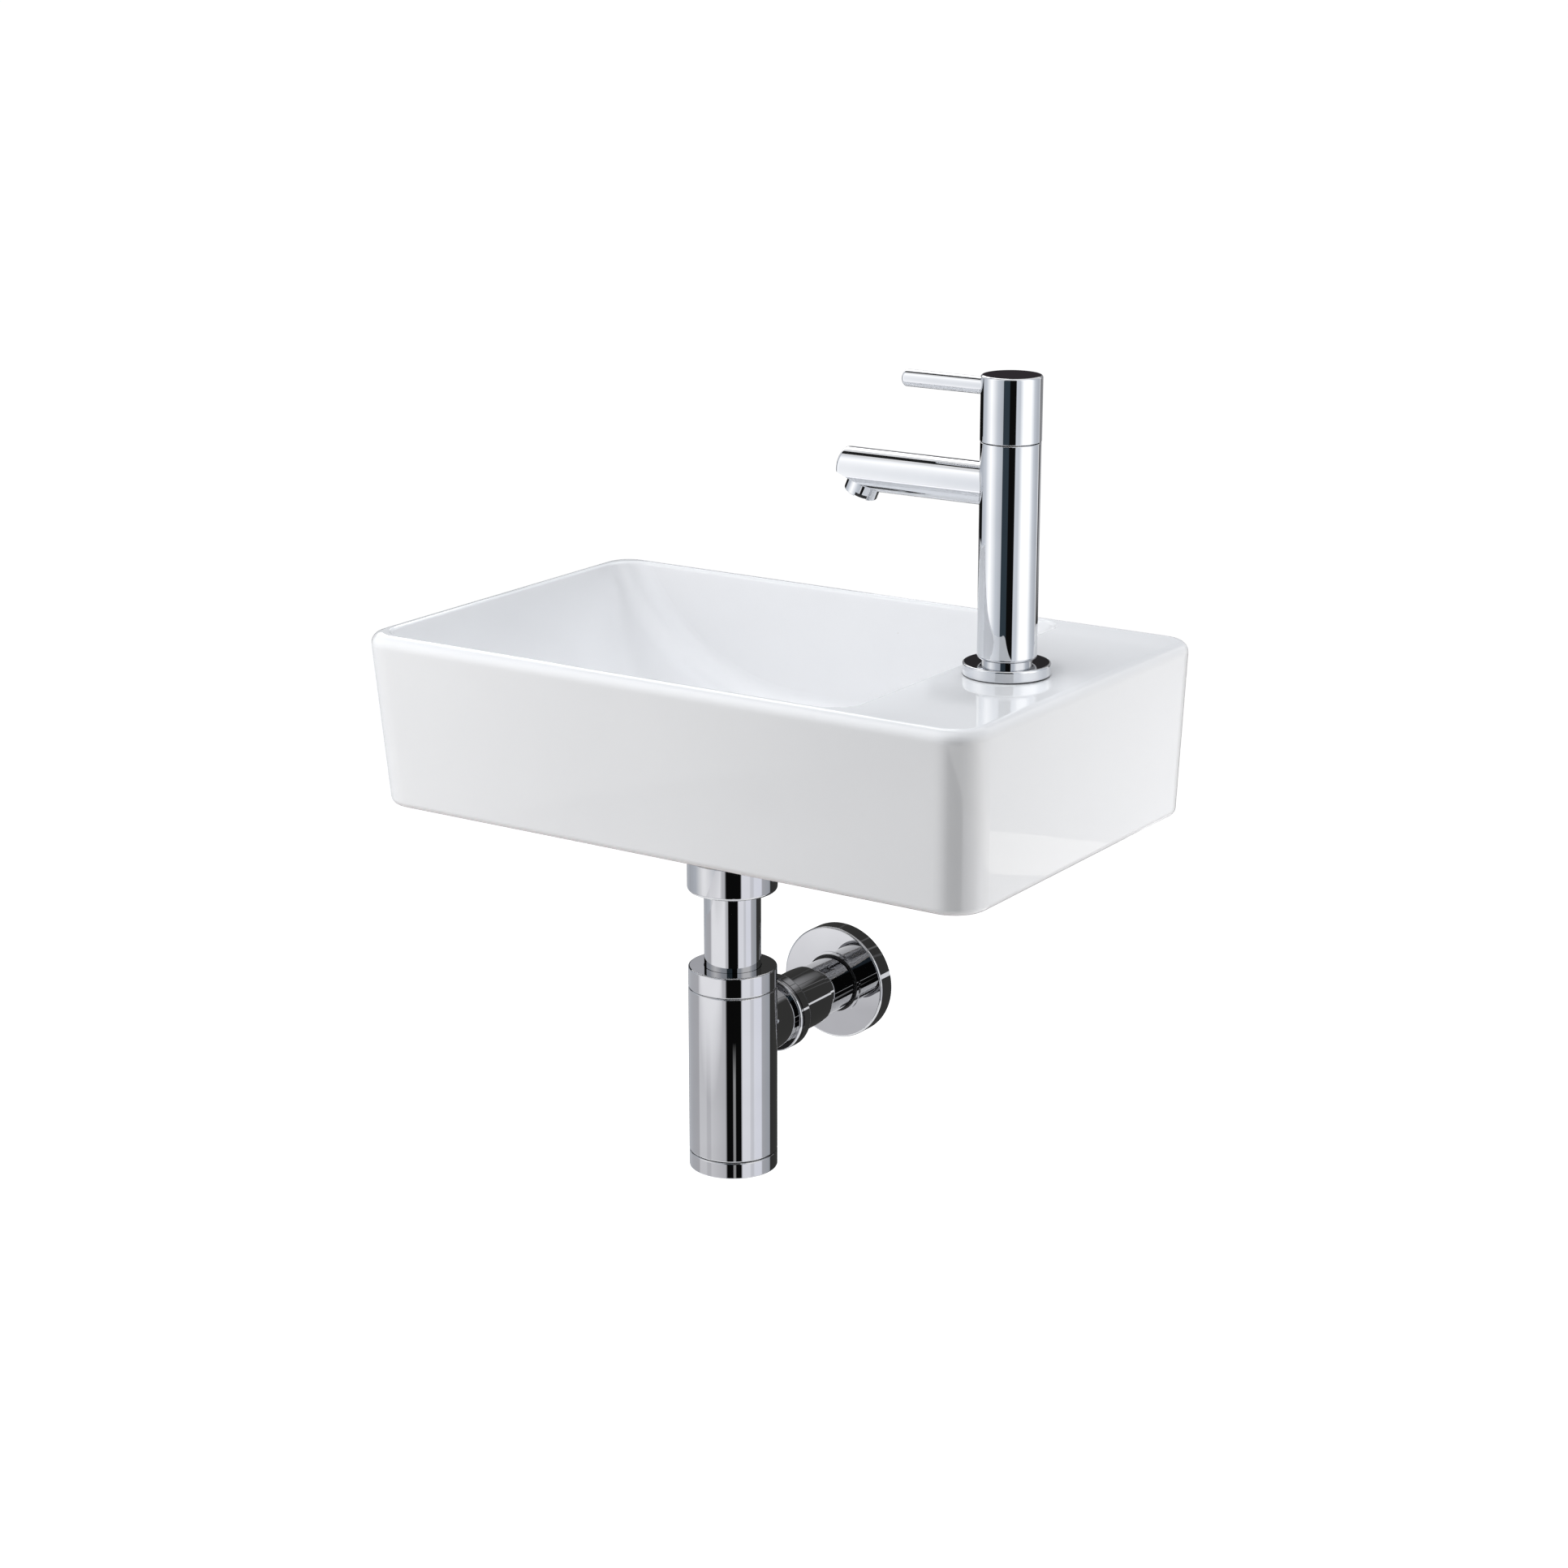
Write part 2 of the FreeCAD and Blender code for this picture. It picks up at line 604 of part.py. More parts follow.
def make_waste():
    spot = {"x": "waste_x", "y": "waste_y"}
    hole, flange, tail = "waste_bore_dia / 2", "waste_flange_dia / 2", "tail_radius"
    flange_top = "waste_tail_length + waste_flange_height"
    body = turned("waste_body", [
        (hole, "0"), (tail, "0"), (tail, "waste_tail_length"), (flange, "waste_tail_length"),
        (flange, flange_top), (f"{hole} + waste_funnel", flange_top), (hole, f"{flange_top} - waste_funnel"),
    ], z="tail_end_z", **spot)
    rounded(body, "waste_flange_round", circle_at(flange, flange_top))
    arm = "(waste_tail_dia + waste_bore_dia) / 2"
    spider_z = "waste_tail_length - spider_height"
    arm_sizes = {"Length": arm, "Width": "spider_width", "Height": "spider_height"}
    feature(body, "AdditiveBox", "arm_across", arm_sizes, f"-({arm}) / 2", "-spider_width / 2", spider_z)
    feature(body, "AdditiveBox", "arm_along", arm_sizes, "spider_width / 2", f"-({arm}) / 2", spider_z,
            QUARTER_TURN)
    boss(body, "hub", "spider_hub_dia / 2", "spider_height", z=spider_z)
    bore(body, "screw_hole", "cover_screw_dia / 2 + thread_gap", "spider_height", z=spider_z)

    screw_hole, stem, edge = "cover_screw_dia / 2 + thread_gap", "spider_hub_dia / 2", "cover_dia / 2"
    cover_top, hole_end = "cover_rise + cover_height", "cover_screw_grip + running_gap"
    cover = turned("waste_cover", [
        (screw_hole, "0"), (stem, "0"), (stem, "cover_rise"), (edge, "cover_rise"), (edge, cover_top),
        ("0", cover_top), ("0", hole_end), (screw_hole, hole_end),
    ], z="waste_flange_z", **spot)
    rounded(cover, "cover_round", circle_at(edge, cover_top))

    head, shaft, head_top = "cover_screw_head_dia / 2", "cover_screw_dia / 2", "cover_screw_head_height"
    screw_end = "cover_screw_head_height + spider_height + cover_screw_grip"
    screw = turned("waste_cover_screw", [
        ("0", "0"), (head, "0"), (head, head_top), (shaft, head_top), (shaft, screw_end), ("0", screw_end),
    ], z="waste_flange_z - spider_height - cover_screw_head_height", **spot)
    slot = {"Length": "cover_screw_head_dia", "Width": "screw_slot_width", "Height": f"{head_top} / 2"}
    feature(screw, "SubtractiveBox", "slot", slot, f"-{head}", "-screw_slot_width / 2")

    around_tail, washer = "tail_radius + free_gap", "waste_washer_dia / 2"
    ring("waste_gasket", around_tail, washer, "waste_gasket_height", z="seat_z", **spot)
    rubber_z = "boss_z - waste_rubber_height"
    ring("waste_rubber_washer", around_tail, washer, "waste_rubber_height", z=rubber_z, **spot)
    slip_z = f"{rubber_z} - waste_slip_height"
    ring("waste_slip_washer", around_tail, washer, "waste_slip_height", z=slip_z, **spot)
    nut("waste_backnut", "waste_nut_flats", "waste_nut_height", "tail_radius + thread_gap",
        z=f"{slip_z} - waste_nut_height", **spot)


def make_trap_inlet():
    spot = {"x": "waste_x", "y": "waste_y"}
    outside, thread, hole = "inlet_nut_dia / 2", "tail_radius + thread_gap", "tube_radius + free_gap"
    collar_nut = turned("inlet_nut", [
        (hole, "0"), (outside, "0"), (outside, "inlet_nut_height"), (thread, "inlet_nut_height"),
        (thread, "inlet_nut_wall"), (hole, "inlet_nut_wall"),
    ], z="inlet_nut_z", **spot)
    rounded(collar_nut, "inlet_nut_round", circle_at(outside, "0"), "lower_round")
    rounded(collar_nut, "bottle_edge_round", circle_at(outside, "inlet_nut_height"), "upper_round")
    collar = "inlet_collar_dia / 2"
    ring("inlet_washer", "tube_bore", collar, "inlet_washer_height", z="inlet_collar_z", **spot)
    dip_end = "cup_z + dip_clearance"
    tube_end = f"inlet_collar_z - ({dip_end})"
    collar_low = f"{tube_end} - inlet_collar_height"
    turned("inlet_tube", [
        ("tube_bore", "0"), ("tube_radius", "0"), ("tube_radius", collar_low), (collar, collar_low),
        (collar, tube_end), ("tube_bore", tube_end),
    ], z=dip_end, **spot)


def make_trap_bottle():
    spot = {"x": "waste_x", "y": "waste_y"}
    outside, spigot, slide = "cup_dia / 2", "cup_spigot_dia / 2", "tube_radius + free_gap"
    thread, ceiling = "cup_spigot_dia / 2 + thread_gap", "bottle_nut_height - bottle_nut_wall"
    top_nut = turned("bottle_top_nut", [
        (thread, "0"), (outside, "0"), (outside, "bottle_nut_height"), (slide, "bottle_nut_height"),
        (slide, ceiling), (thread, ceiling),
    ], z="cup_top_z", **spot)
    rounded(top_nut, "bottle_edge_round",
            any_of(circle_at(outside, "0"), circle_at(outside, "bottle_nut_height")))

    around_tube, seat = "tube_radius + running_gap", "cup_seat_dia / 2"
    seal_edge, seal_height = f"{seat} - running_gap", "bottle_slip_z - cup_seal_z"
    turned("bottle_cone_seal", [
        (around_tube, "0"), (f"{seal_edge} - seal_taper", "0"), (seal_edge, "seal_taper"),
        (seal_edge, seal_height), (around_tube, seal_height),
    ], z="cup_seal_z", **spot)
    ring("bottle_slip_ring", around_tube, spigot, "slip_ring_height", z="bottle_slip_z", **spot)

    spigot_top, seat_low = "cup_height + cup_spigot_height", "cup_height + cup_spigot_height - cup_seat_depth"
    ceiling = "cup_height - cup_top_wall"
    cup = turned("bottle_cup", [
        ("cup_cavity", "0"), (outside, "0"), (outside, "cup_height"), (spigot, "cup_height"),
        (spigot, spigot_top), (seat, spigot_top), (seat, seat_low), (slide, seat_low), (slide, ceiling),
        ("cup_cavity", ceiling),
    ], z="cup_z", **spot)
    rounded(cup, "bottle_edge_round", any_of(circle_at(outside, "0"), circle_at(outside, "cup_height")))
    branch_z = "cup_height - outlet_drop"
    boss(cup, "branch", "branch_dia / 2", "branch_length", z=branch_z, turn=TO_WALL)
    bore(cup, "cavity", "cup_cavity", ceiling)
    bore(cup, "branch_bore", slide, "branch_length", z=branch_z, turn=TO_WALL)
    bore(cup, "branch_seat", "branch_seat_dia / 2", "branch_seat_depth",
         y="branch_length - branch_seat_depth", z=branch_z, turn=TO_WALL)

    groove_top, spigot_end = "cap_height + cap_groove_width", "cap_height + cap_spigot_height"
    hollow = "cap_groove - cap_spigot_wall"
    cap = turned("bottle_cap", [
        ("0", "0"), (outside, "0"), (outside, "cap_height"), ("cap_groove", "cap_height"),
        ("cap_groove", groove_top), ("cap_spigot", groove_top), ("cap_spigot", spigot_end),
        (hollow, spigot_end), (hollow, "cap_floor"), ("0", "cap_floor"),
    ], z="cap_z", **spot)
    rounded(cap, "cap_round", circle_at(outside, "0"), "lower_round")
    rounded(cap, "bottle_edge_round", circle_at(outside, "cap_height"), "upper_round")
    ring("bottle_cap_seal", "cap_groove + running_gap", "cup_cavity - running_gap",
         "cap_groove_width - 2 * running_gap", z="cap_z + cap_height + running_gap", **spot)


def make_trap_outlet():
    spot = {"x": "waste_x", "y": "waste_y", "z": "outlet_z", "turn": TO_WALL}
    outside, thread, slide = "outlet_nut_dia / 2", "branch_dia / 2 + thread_gap", "tube_radius + free_gap"
    bead = "outlet_nut_start + outlet_bead_place"
    bead_end, bead_floor = f"{bead} + outlet_bead_width", f"{outside} - outlet_bead_depth"
    sleeve, sleeve_end = "outlet_sleeve_dia / 2", "outlet_nut_end + outlet_sleeve_length"
    outlet_nut = turned("outlet_nut", [
        (thread, "outlet_nut_start"), (outside, "outlet_nut_start"), (outside, bead), (bead_floor, bead),
        (bead_floor, bead_end), (outside, bead_end), (outside, "outlet_nut_end"), (sleeve, "outlet_nut_end"),
        (sleeve, sleeve_end), (slide, sleeve_end), (slide, "outlet_step"), (thread, "outlet_step"),
    ], **spot)
    rounded(outlet_nut, "outlet_nut_round",
            any_of(circle_at(outside, "outlet_nut_start"), circle_at(outside, "outlet_nut_end")))
    around_tube = "tube_radius + running_gap"

    def along(label, inner, outer, start, end):
        turned(label, [(inner, start), (outer, start), (outer, end), (inner, end)], **spot)
    along("outlet_cone_seal", around_tube, "branch_seat_dia / 2 - running_gap",
          "branch_length - branch_seat_depth + running_gap", "branch_length")
    along("outlet_slip_ring", around_tube, "branch_dia / 2 - running_gap",
          "branch_length + running_gap", "outlet_step - running_gap")
    entry, tube_end = "wall_entry_dia / 2", "waste_from_wall + wall_tube_entry"
    turned("wall_tube", [
        ("tube_bore", "wall_tube_start"), ("tube_radius", "wall_tube_start"),
        ("tube_radius", "waste_from_wall"), (entry, "waste_from_wall"), (entry, tube_end),
        ("tube_bore", tube_end),
    ], **spot)

    edge, back, lip = "flange_dia / 2", "waste_from_wall", "flange_face - flange_lip"
    collar, collar_end = "flange_hole + flange_collar_wall", "flange_face + flange_collar_length"
    rim, plate = f"{edge} - flange_wall", "flange_face + flange_wall"
    flange = turned("wall_flange", [
        ("flange_hole", lip), (collar, lip), (collar, "flange_face"), (edge, "flange_face"), (edge, back),
        (rim, back), (rim, plate), (collar, plate), (collar, collar_end), ("flange_hole", collar_end),
    ], **spot)
    rounded(flange, "flange_round", circle_at(edge, "flange_face"))
    along("wall_flange_seal", around_tube, "flange_hole - running_gap", "flange_face", collar_end)


def make_tap():
    spot = {"x": "tap_x", "y": "tap_y"}
    seal_bore, seal_edge = "base_seal_bore", "base_seal_bore + base_seal_width"
    ring("tap_base_seal", seal_bore, seal_edge, "base_seal_height", z="rim_z", **spot)
    groove_in, groove_out = f"{seal_bore} - running_gap", f"{seal_edge} + running_gap"
    groove_top = "base_seal_height - base_seal_proud"
    hole, edge = "shank_radius + thread_gap", "base_ring_dia / 2"
    base = turned("tap_base_ring", [
        (hole, "0"), (groove_in, "0"), (groove_in, groove_top), (groove_out, groove_top), (groove_out, "0"),
        (edge, "0"), (edge, "base_ring_height"), (hole, "base_ring_height"),
    ], z="rim_z + base_seal_proud", **spot)
    rounded(base, "base_ring_round", circle_at(edge, "base_ring_height"), "upper_round")
    rounded(base, "tap_edge_round", circle_at(edge, "0"), "lower_round")

    outside, neck = "tap_dia / 2", "tap_neck_dia / 2"
    chamber, waterway = "tap_chamber_dia / 2", "tap_waterway_dia / 2"
    seat = "tap_height - valve_depth"
    body = turned("tap_body", [
        (hole, "0"), (neck, "0"), (neck, "tap_neck_height"), (outside, "tap_neck_height"),
        (outside, "tap_height"), (chamber, "tap_height"), (chamber, seat), (waterway, seat),
        (waterway, "tap_socket_depth"), (hole, "tap_socket_depth"),
    ], z="tap_z", **spot)
    rounded(body, "tap_lower_round", circle_at(outside, "tap_neck_height"), "lower_round")
    rounded(body, "tap_edge_round", circle_at(outside, "tap_height"), "upper_round")
    bore(body, "spout_hole", "spout_spigot_dia / 2 + thread_gap", outside, z="spout_height", turn=TO_LEFT)

    shank_end = "shank_below_rim + base_seal_proud + base_ring_height + tap_socket_depth - running_gap"
    way, relief = "shank_bore_dia / 2", "shank_radius - shank_relief_depth"
    tail, relief_top = "shank_tail_length", "shank_tail_length + shank_relief_width"
    turned("tap_shank", [
        (way, "0"), ("shank_radius", "0"), ("shank_radius", tail), (relief, tail), (relief, relief_top),
        ("shank_radius", relief_top), ("shank_radius", shank_end), (way, shank_end),
    ], z="rim_z - shank_below_rim", **spot)
    around_shank, washer = "shank_radius + free_gap", "shank_washer_dia / 2"
    rubber_z = "deck_low_z - shank_rubber_height"
    ring("tap_rubber_washer", around_shank, washer, "shank_rubber_height", z=rubber_z, **spot)
    metal_z = f"{rubber_z} - shank_metal_height"
    ring("tap_metal_washer", around_shank, washer, "shank_metal_height", z=metal_z, **spot)
    nut("tap_backnut", "shank_nut_flats", "shank_nut_height", hole, z=f"{metal_z} - shank_nut_height", **spot)


def make_spout():
    body = new_body("tap_spout", "tap_x", "tap_y", "spout_z", HALF_TURN)
    outside, tap = "spout_dia / 2", "tap_dia / 2"
    boss(body, "bar", outside, "spout_reach + overrun", turn=TO_RIGHT)
    bore(body, "saddle", f"{tap} + running_gap", "2 * spout_dia", z="-spout_dia")
    boss(body, "spigot", "spout_spigot_dia / 2", "spout_spigot_depth + spout_spigot_dia / 2",
         x=f"{tap} - spout_spigot_depth", turn=TO_RIGHT)
    tip_z, slope = "-spout_tip_drop", "spout_cut_angle"
    along_y(body, "tip", [
        ("spout_reach", "spout_dia"),
        ("spout_reach", tip_z),
        (f"spout_reach - spout_reach * cos({slope})", f"{tip_z} - spout_reach * sin({slope})"),
        ("2 * spout_reach", f"{tip_z} - spout_reach * sin({slope})"),
        ("2 * spout_reach", "spout_dia"),
    ])
    tip = measure("spout_reach")

    def on_end_face(edge):
        return near(edge.BoundBox.XMin, tip) and near(edge.BoundBox.XMax, tip)
    rounded(body, "spout_tip_round", on_end_face)
    bore(body, "waterway", "spout_bore_dia / 2", "spout_reach - aerator_setback", turn=TO_RIGHT)
    into = Rotation(Vector(0, 1, 0), -measure(slope))
    bore(body, "aerator_hole", "aerator_thread_dia / 2 + thread_gap",
         "aerator_thread_length + aerator_seal_height + overrun",
         x=f"spout_reach - aerator_setback * cos({slope}) + overrun * sin({slope})",
         z=f"{tip_z} - aerator_setback * sin({slope}) - overrun * cos({slope})", turn=into)


def make_aerator():
    """The aerator stands square to the slanted underside of the spout's tip, and its axis points out."""
    slope = "spout_cut_angle"
    out = Rotation(Vector(0, 1, 0), FULL_TURN / 2 + measure(slope))

    def sunk(depth):
        return {"x": f"aerator_x + ({depth}) * sin({slope})", "y": "tap_y",
                "z": f"aerator_z + ({depth}) * cos({slope})", "turn": out}
    thread, outside = "aerator_thread_dia / 2", "aerator_dia / 2"
    end = "aerator_thread_length + aerator_shown"
    housing = turned("aerator_housing", [
        ("aerator_bore", "0"), (thread, "0"), (thread, "aerator_thread_length"),
        (outside, "aerator_thread_length"), (outside, end), ("aerator_cup", end),
        ("aerator_cup", "aerator_shoulder"), ("aerator_bore", "aerator_shoulder"),
    ], **sunk("aerator_thread_length"))
    rounded(housing, "tap_edge_round", circle_at(outside, end))
    notch = {"Length": "aerator_notch_width", "Width": "2 * aerator_dia", "Height": "aerator_notch_depth"}
    half, turn = "aerator_notch_width / 2", "aerator_notch_angle"
    feature(housing, "SubtractiveBox", "notch", notch,
            f"-{half} * cos({turn}) - aerator_dia * sin({turn})",
            f"{half} * sin({turn}) - aerator_dia * cos({turn})",
            f"{end} - aerator_notch_depth", Rotation(Vector(0, 0, 1), -measure(turn)))
    ring("aerator_seal", f"{thread} - aerator_seal_width", thread, "aerator_seal_height",
         **sunk("aerator_thread_length + aerator_seal_height"))

    stem, head = "aerator_bore - running_gap", "aerator_cup - running_gap"
    step, height = "aerator_shoulder + running_gap", f"{end} - aerator_insert_recess"
    insert = turned("aerator_insert", [
        ("0", "0"), (stem, "0"), (stem, step), (head, step), (head, height), ("0", height),
    ], **sunk("aerator_thread_length"))
    jet = bore(insert, "jet", "aerator_jet_dia / 2", height, x="aerator_jet_ring_dia / 2")
    jets = insert.newObject("PartDesign::PolarPattern", "aerator_jets")
    jets.Originals = [jet]
    jets.Axis = (origin_part(insert, "Z_Axis"), [""])
    jets.Angle = FULL_TURN
    jets.Occurrences = AERATOR_JETS
    insert.Tip = jets
    bore(insert, "middle_jet", "aerator_jet_dia / 2", height)


def make_valve():
    spot = {"x": "tap_x", "y": "tap_y"}
    ring("valve_seat_seal", "tap_waterway_dia / 2", "tap_chamber_dia / 2 - running_gap", "valve_seal_height",
         z="valve_z", **spot)
    disc_ways = (("valve_fixed_disc", "disc_z", ("disc_port_place", "0")),
                 ("valve_turning_disc", "disc_z + disc_height", ("0", "disc_port_place")))
    for label, height, (across, along) in disc_ways:
        disc = turned(label, [
            ("0", "0"), ("disc_radius", "0"), ("disc_radius", "disc_height"), ("0", "disc_height"),
        ], z=height, **spot)
        bore(disc, "first_port", "disc_port_dia / 2", "disc_height", across, along)
        bore(disc, "second_port", "disc_port_dia / 2", "disc_height", f"-{across}", f"-{along}")

    room, sleeve, neck = "disc_radius + running_gap", "valve_sleeve_dia / 2", "valve_neck_dia / 2"
    spindle_hole = "spindle_dia / 2 + running_gap"
    housing = turned("cartridge_housing", [
        (room, "0"), (sleeve, "0"), (sleeve, "valve_hex_lift"), (neck, "valve_hex_lift"), (neck, "valve_end"),
        (spindle_hole, "valve_end"), (spindle_hole, "valve_room"), (room, "valve_room"),
    ], z="disc_z", **spot)
    hexagon(housing, "AdditivePrism", "hexagon", "valve_hex_flats", "valve_hex_height", "valve_hex_lift")
    bore(housing, "spindle_way", spindle_hole, "valve_hex_height", z="valve_hex_lift")
    window = {
        "Length": "2 * valve_sleeve_dia", "Width": "valve_window_width", "Height": "spindle_foot_height",
    }
    feature(housing, "SubtractiveBox", "windows", window,
            "-valve_sleeve_dia", "-valve_window_width / 2", "foot_lift")

    shaft, groove = "spindle_dia / 2", "spindle_dia / 2 - oring_groove_depth"
    clip_floor, clip_top = "spindle_dia / 2 - clip_groove_depth", "clip_lift + clip_height + running_gap"
    groove_low = "valve_end - oring_drop"
    groove_top, foot_top = f"{groove_low} + oring_groove_width", "foot_lift + spindle_foot_height"
    spindle = turned("cartridge_spindle", [
        ("0", "foot_lift"), ("disc_radius", "foot_lift"), ("disc_radius", foot_top), (shaft, foot_top),
        (shaft, groove_low), (groove, groove_low), (groove, groove_top), (shaft, groove_top),
        (shaft, "clip_lift"), (clip_floor, "clip_lift"), (clip_floor, clip_top), (shaft, clip_top),
        (shaft, "spindle_end"), ("0", "spindle_end"),
    ], z="disc_z", **spot)
    flat = {
        "Length": "2 * spindle_dia", "Width": "spindle_flat_depth + overrun",
        "Height": "spindle_grip + overrun",
    }
    feature(spindle, "SubtractiveBox", "flat", flat,
            "-spindle_dia", "spindle_dia / 2 - spindle_flat_depth", "spindle_end - spindle_grip")
    ring("spindle_oring", f"{groove} + running_gap / 2", shaft, "oring_groove_width - 2 * running_gap",
         z=f"disc_z + {groove_low} + running_gap", **spot)
    ring("spindle_clip", f"{clip_floor} + running_gap / 2", "clip_dia / 2", "clip_height",
         z="disc_z + clip_lift + running_gap / 2", **spot)


def make_handle():
    spot = {"x": "tap_x", "y": "tap_y"}
    outside, room, hole = "handle_dia / 2", "handle_dia / 2 - handle_wall", "spindle_dia / 2 + running_gap"
    hole_end = "handle_room_height + spindle_grip + running_gap"
    cap = turned("handle_cap", [
        (room, "0"), (outside, "0"), (outside, "handle_height"), ("0", "handle_height"), ("0", hole_end),
        (hole, hole_end), (hole, "handle_room_height"), (room, "handle_room_height"),
    ], z="handle_z", **spot)
    rounded(cap, "handle_top_round", circle_at(outside, "handle_height"), "upper_round")
    rounded(cap, "tap_edge_round", circle_at(outside, "0"), "lower_round")
    lever_height = "handle_height - lever_below_top"
    stud_start = "lever_seat - lever_stud_length"
    bore(cap, "lever_seat", "lever_dia / 2 + running_gap", outside,
         x="-lever_seat", z=lever_height, turn=TO_LEFT)
    bore(cap, "stud_hole", "lever_stud_dia / 2 + thread_gap", f"{outside} - ({stud_start})",
         x=f"-({stud_start})", z=lever_height, turn=TO_LEFT)
    bore(cap, "grub_hole", "grub_dia / 2 + thread_gap", outside, z="handle_room_height + grub_above_room",
         turn=TO_WALL)

    stud, rod, rod_end = "lever_stud_dia / 2", "lever_dia / 2", "lever_reach - lever_seat + lever_stud_length"
    lever = turned("handle_lever", [
        ("0", "0"), (stud, "0"), (stud, "lever_stud_length"), (rod, "lever_stud_length"), (rod, rod_end),
        ("0", rod_end),
    ], x=f"tap_x - ({stud_start})", y="tap_y", z="lever_z", turn=TO_LEFT)
    rounded(lever, "lever_tip_round", circle_at(rod, rod_end))

    thread = "grub_dia / 2"
    grub = turned("handle_grub_screw", [
        ("0", "0"), (thread, "0"), (thread, "grub_length"), ("0", "grub_length"),
    ], x="tap_x", y="tap_y + grub_start", z="grub_z", turn=TO_WALL)
    hexagon(grub, "SubtractivePrism", "socket", "grub_socket_flats", "grub_socket_depth",
            "grub_length - grub_socket_depth")


def check_and_write():
    doc.recompute()
    failed = [thing.Name for thing in doc.Objects if {"Invalid", "Error"} & set(thing.State)]
    if failed:
        raise RuntimeError(f"objects left failed: {failed}")
    for piece in pieces:
        if piece.Shape.isNull() or not piece.Shape.isValid() or len(piece.Shape.Solids) != 1:
            raise RuntimeError(f"{piece.Label}: shape is null, not valid or not one solid")
    os.makedirs("parts", exist_ok=True)
    for piece in pieces:
        piece.Shape.exportStep(f"parts/{piece.Label}.step")
        box = piece.Shape.BoundBox
        print(f"{piece.Label}: {piece.Shape.Volume:.0f} mm3, "
              f"x {box.XMin:.1f} to {box.XMax:.1f}, y {box.YMin:.1f} to {box.YMax:.1f}, "
              f"z {box.ZMin:.1f} to {box.ZMax:.1f}")


make_basin()
make_waste()
make_trap_inlet()
make_trap_bottle()
make_trap_outlet()
make_tap()
make_spout()
make_aerator()
make_valve()
make_handle()
check_and_write()
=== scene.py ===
import json
import math
from collections import namedtuple

import bpy
from mathutils import Euler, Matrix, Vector


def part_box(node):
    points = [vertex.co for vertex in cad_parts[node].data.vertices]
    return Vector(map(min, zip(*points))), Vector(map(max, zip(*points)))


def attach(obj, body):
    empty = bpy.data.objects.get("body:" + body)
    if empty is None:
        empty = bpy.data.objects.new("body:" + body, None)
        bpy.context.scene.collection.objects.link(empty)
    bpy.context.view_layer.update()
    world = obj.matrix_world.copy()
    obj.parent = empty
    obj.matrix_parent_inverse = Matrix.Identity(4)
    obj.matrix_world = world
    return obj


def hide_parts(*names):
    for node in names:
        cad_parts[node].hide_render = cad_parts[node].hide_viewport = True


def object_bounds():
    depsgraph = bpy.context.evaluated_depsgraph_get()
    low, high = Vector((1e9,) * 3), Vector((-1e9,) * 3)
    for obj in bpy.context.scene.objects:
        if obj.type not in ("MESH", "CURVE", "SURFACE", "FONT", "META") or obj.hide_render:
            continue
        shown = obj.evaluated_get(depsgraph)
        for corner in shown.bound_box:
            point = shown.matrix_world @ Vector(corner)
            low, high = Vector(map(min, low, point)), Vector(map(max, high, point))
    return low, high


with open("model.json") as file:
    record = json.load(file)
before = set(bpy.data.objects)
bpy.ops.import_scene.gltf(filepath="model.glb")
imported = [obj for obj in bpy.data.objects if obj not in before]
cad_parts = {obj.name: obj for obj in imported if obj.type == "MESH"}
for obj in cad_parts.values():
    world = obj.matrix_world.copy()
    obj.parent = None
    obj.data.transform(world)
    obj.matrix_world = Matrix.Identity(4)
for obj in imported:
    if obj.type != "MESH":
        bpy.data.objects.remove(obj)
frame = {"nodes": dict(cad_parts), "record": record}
nodes = frame["nodes"]
cad_low, cad_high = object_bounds()


def middle_of(node):
    low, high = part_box(node)
    return (low + high) / 2


# Places taken from the frame, in metres
MIDDLE = (cad_low + cad_high) / 2
BASIN_LOW, BASIN_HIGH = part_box("basin")
TAP_AXIS = middle_of("tap_body")
TRAP_AXIS = middle_of("bottle_cap")

# The view: a long lens above and to the right of the basin, turned to the left and tipped down, in degrees
CAMERA_PLACE = Vector((0.9809, -1.5921, 0.5003))
CAMERA_TIP = 15.98
CAMERA_TURN = 33.574
FOCAL_PIXELS = 4161.4
IMAGE_PIXELS = 1932
SENSOR = 36

# Where the glaze stops short of the wall face and of the foot
BARE_EDGE = 0.0008
BARE_FOOT = 0.0002

# Where the glaze thins and darkens above the foot, partly the warm clay showing through and partly painted
# shade on the underturned edge, and how far from the right end that eases off
THIN_SHADE_LOW = 0.0003
THIN_SHADE_HIGH = 0.0032
THIN_SHADE_END = 0.03
THIN_SHADE_LEAST = 0.25

# The tap's tail: a half inch pipe thread
SHANK_BORE = 0.0075
SHANK_THREAD_DEPTH = 0.00116
SHANK_THREAD_PITCH = 0.001814

# The waste's tail: a pipe thread of an inch and a quarter, of which the crests stand proud
TAIL_RADIUS = 0.0209
TAIL_THREAD_DEPTH = 0.0005
TAIL_THREAD_PITCH = 0.002309
TAIL_GAP = 0.0006

# A thread's crest and flank as shares of half a pitch, and the points that draw it
CREST_SHARE = 0.15
FLANK_SHARE = 0.7
POINTS_AROUND = 48
RINGS_PER_PITCH = 8

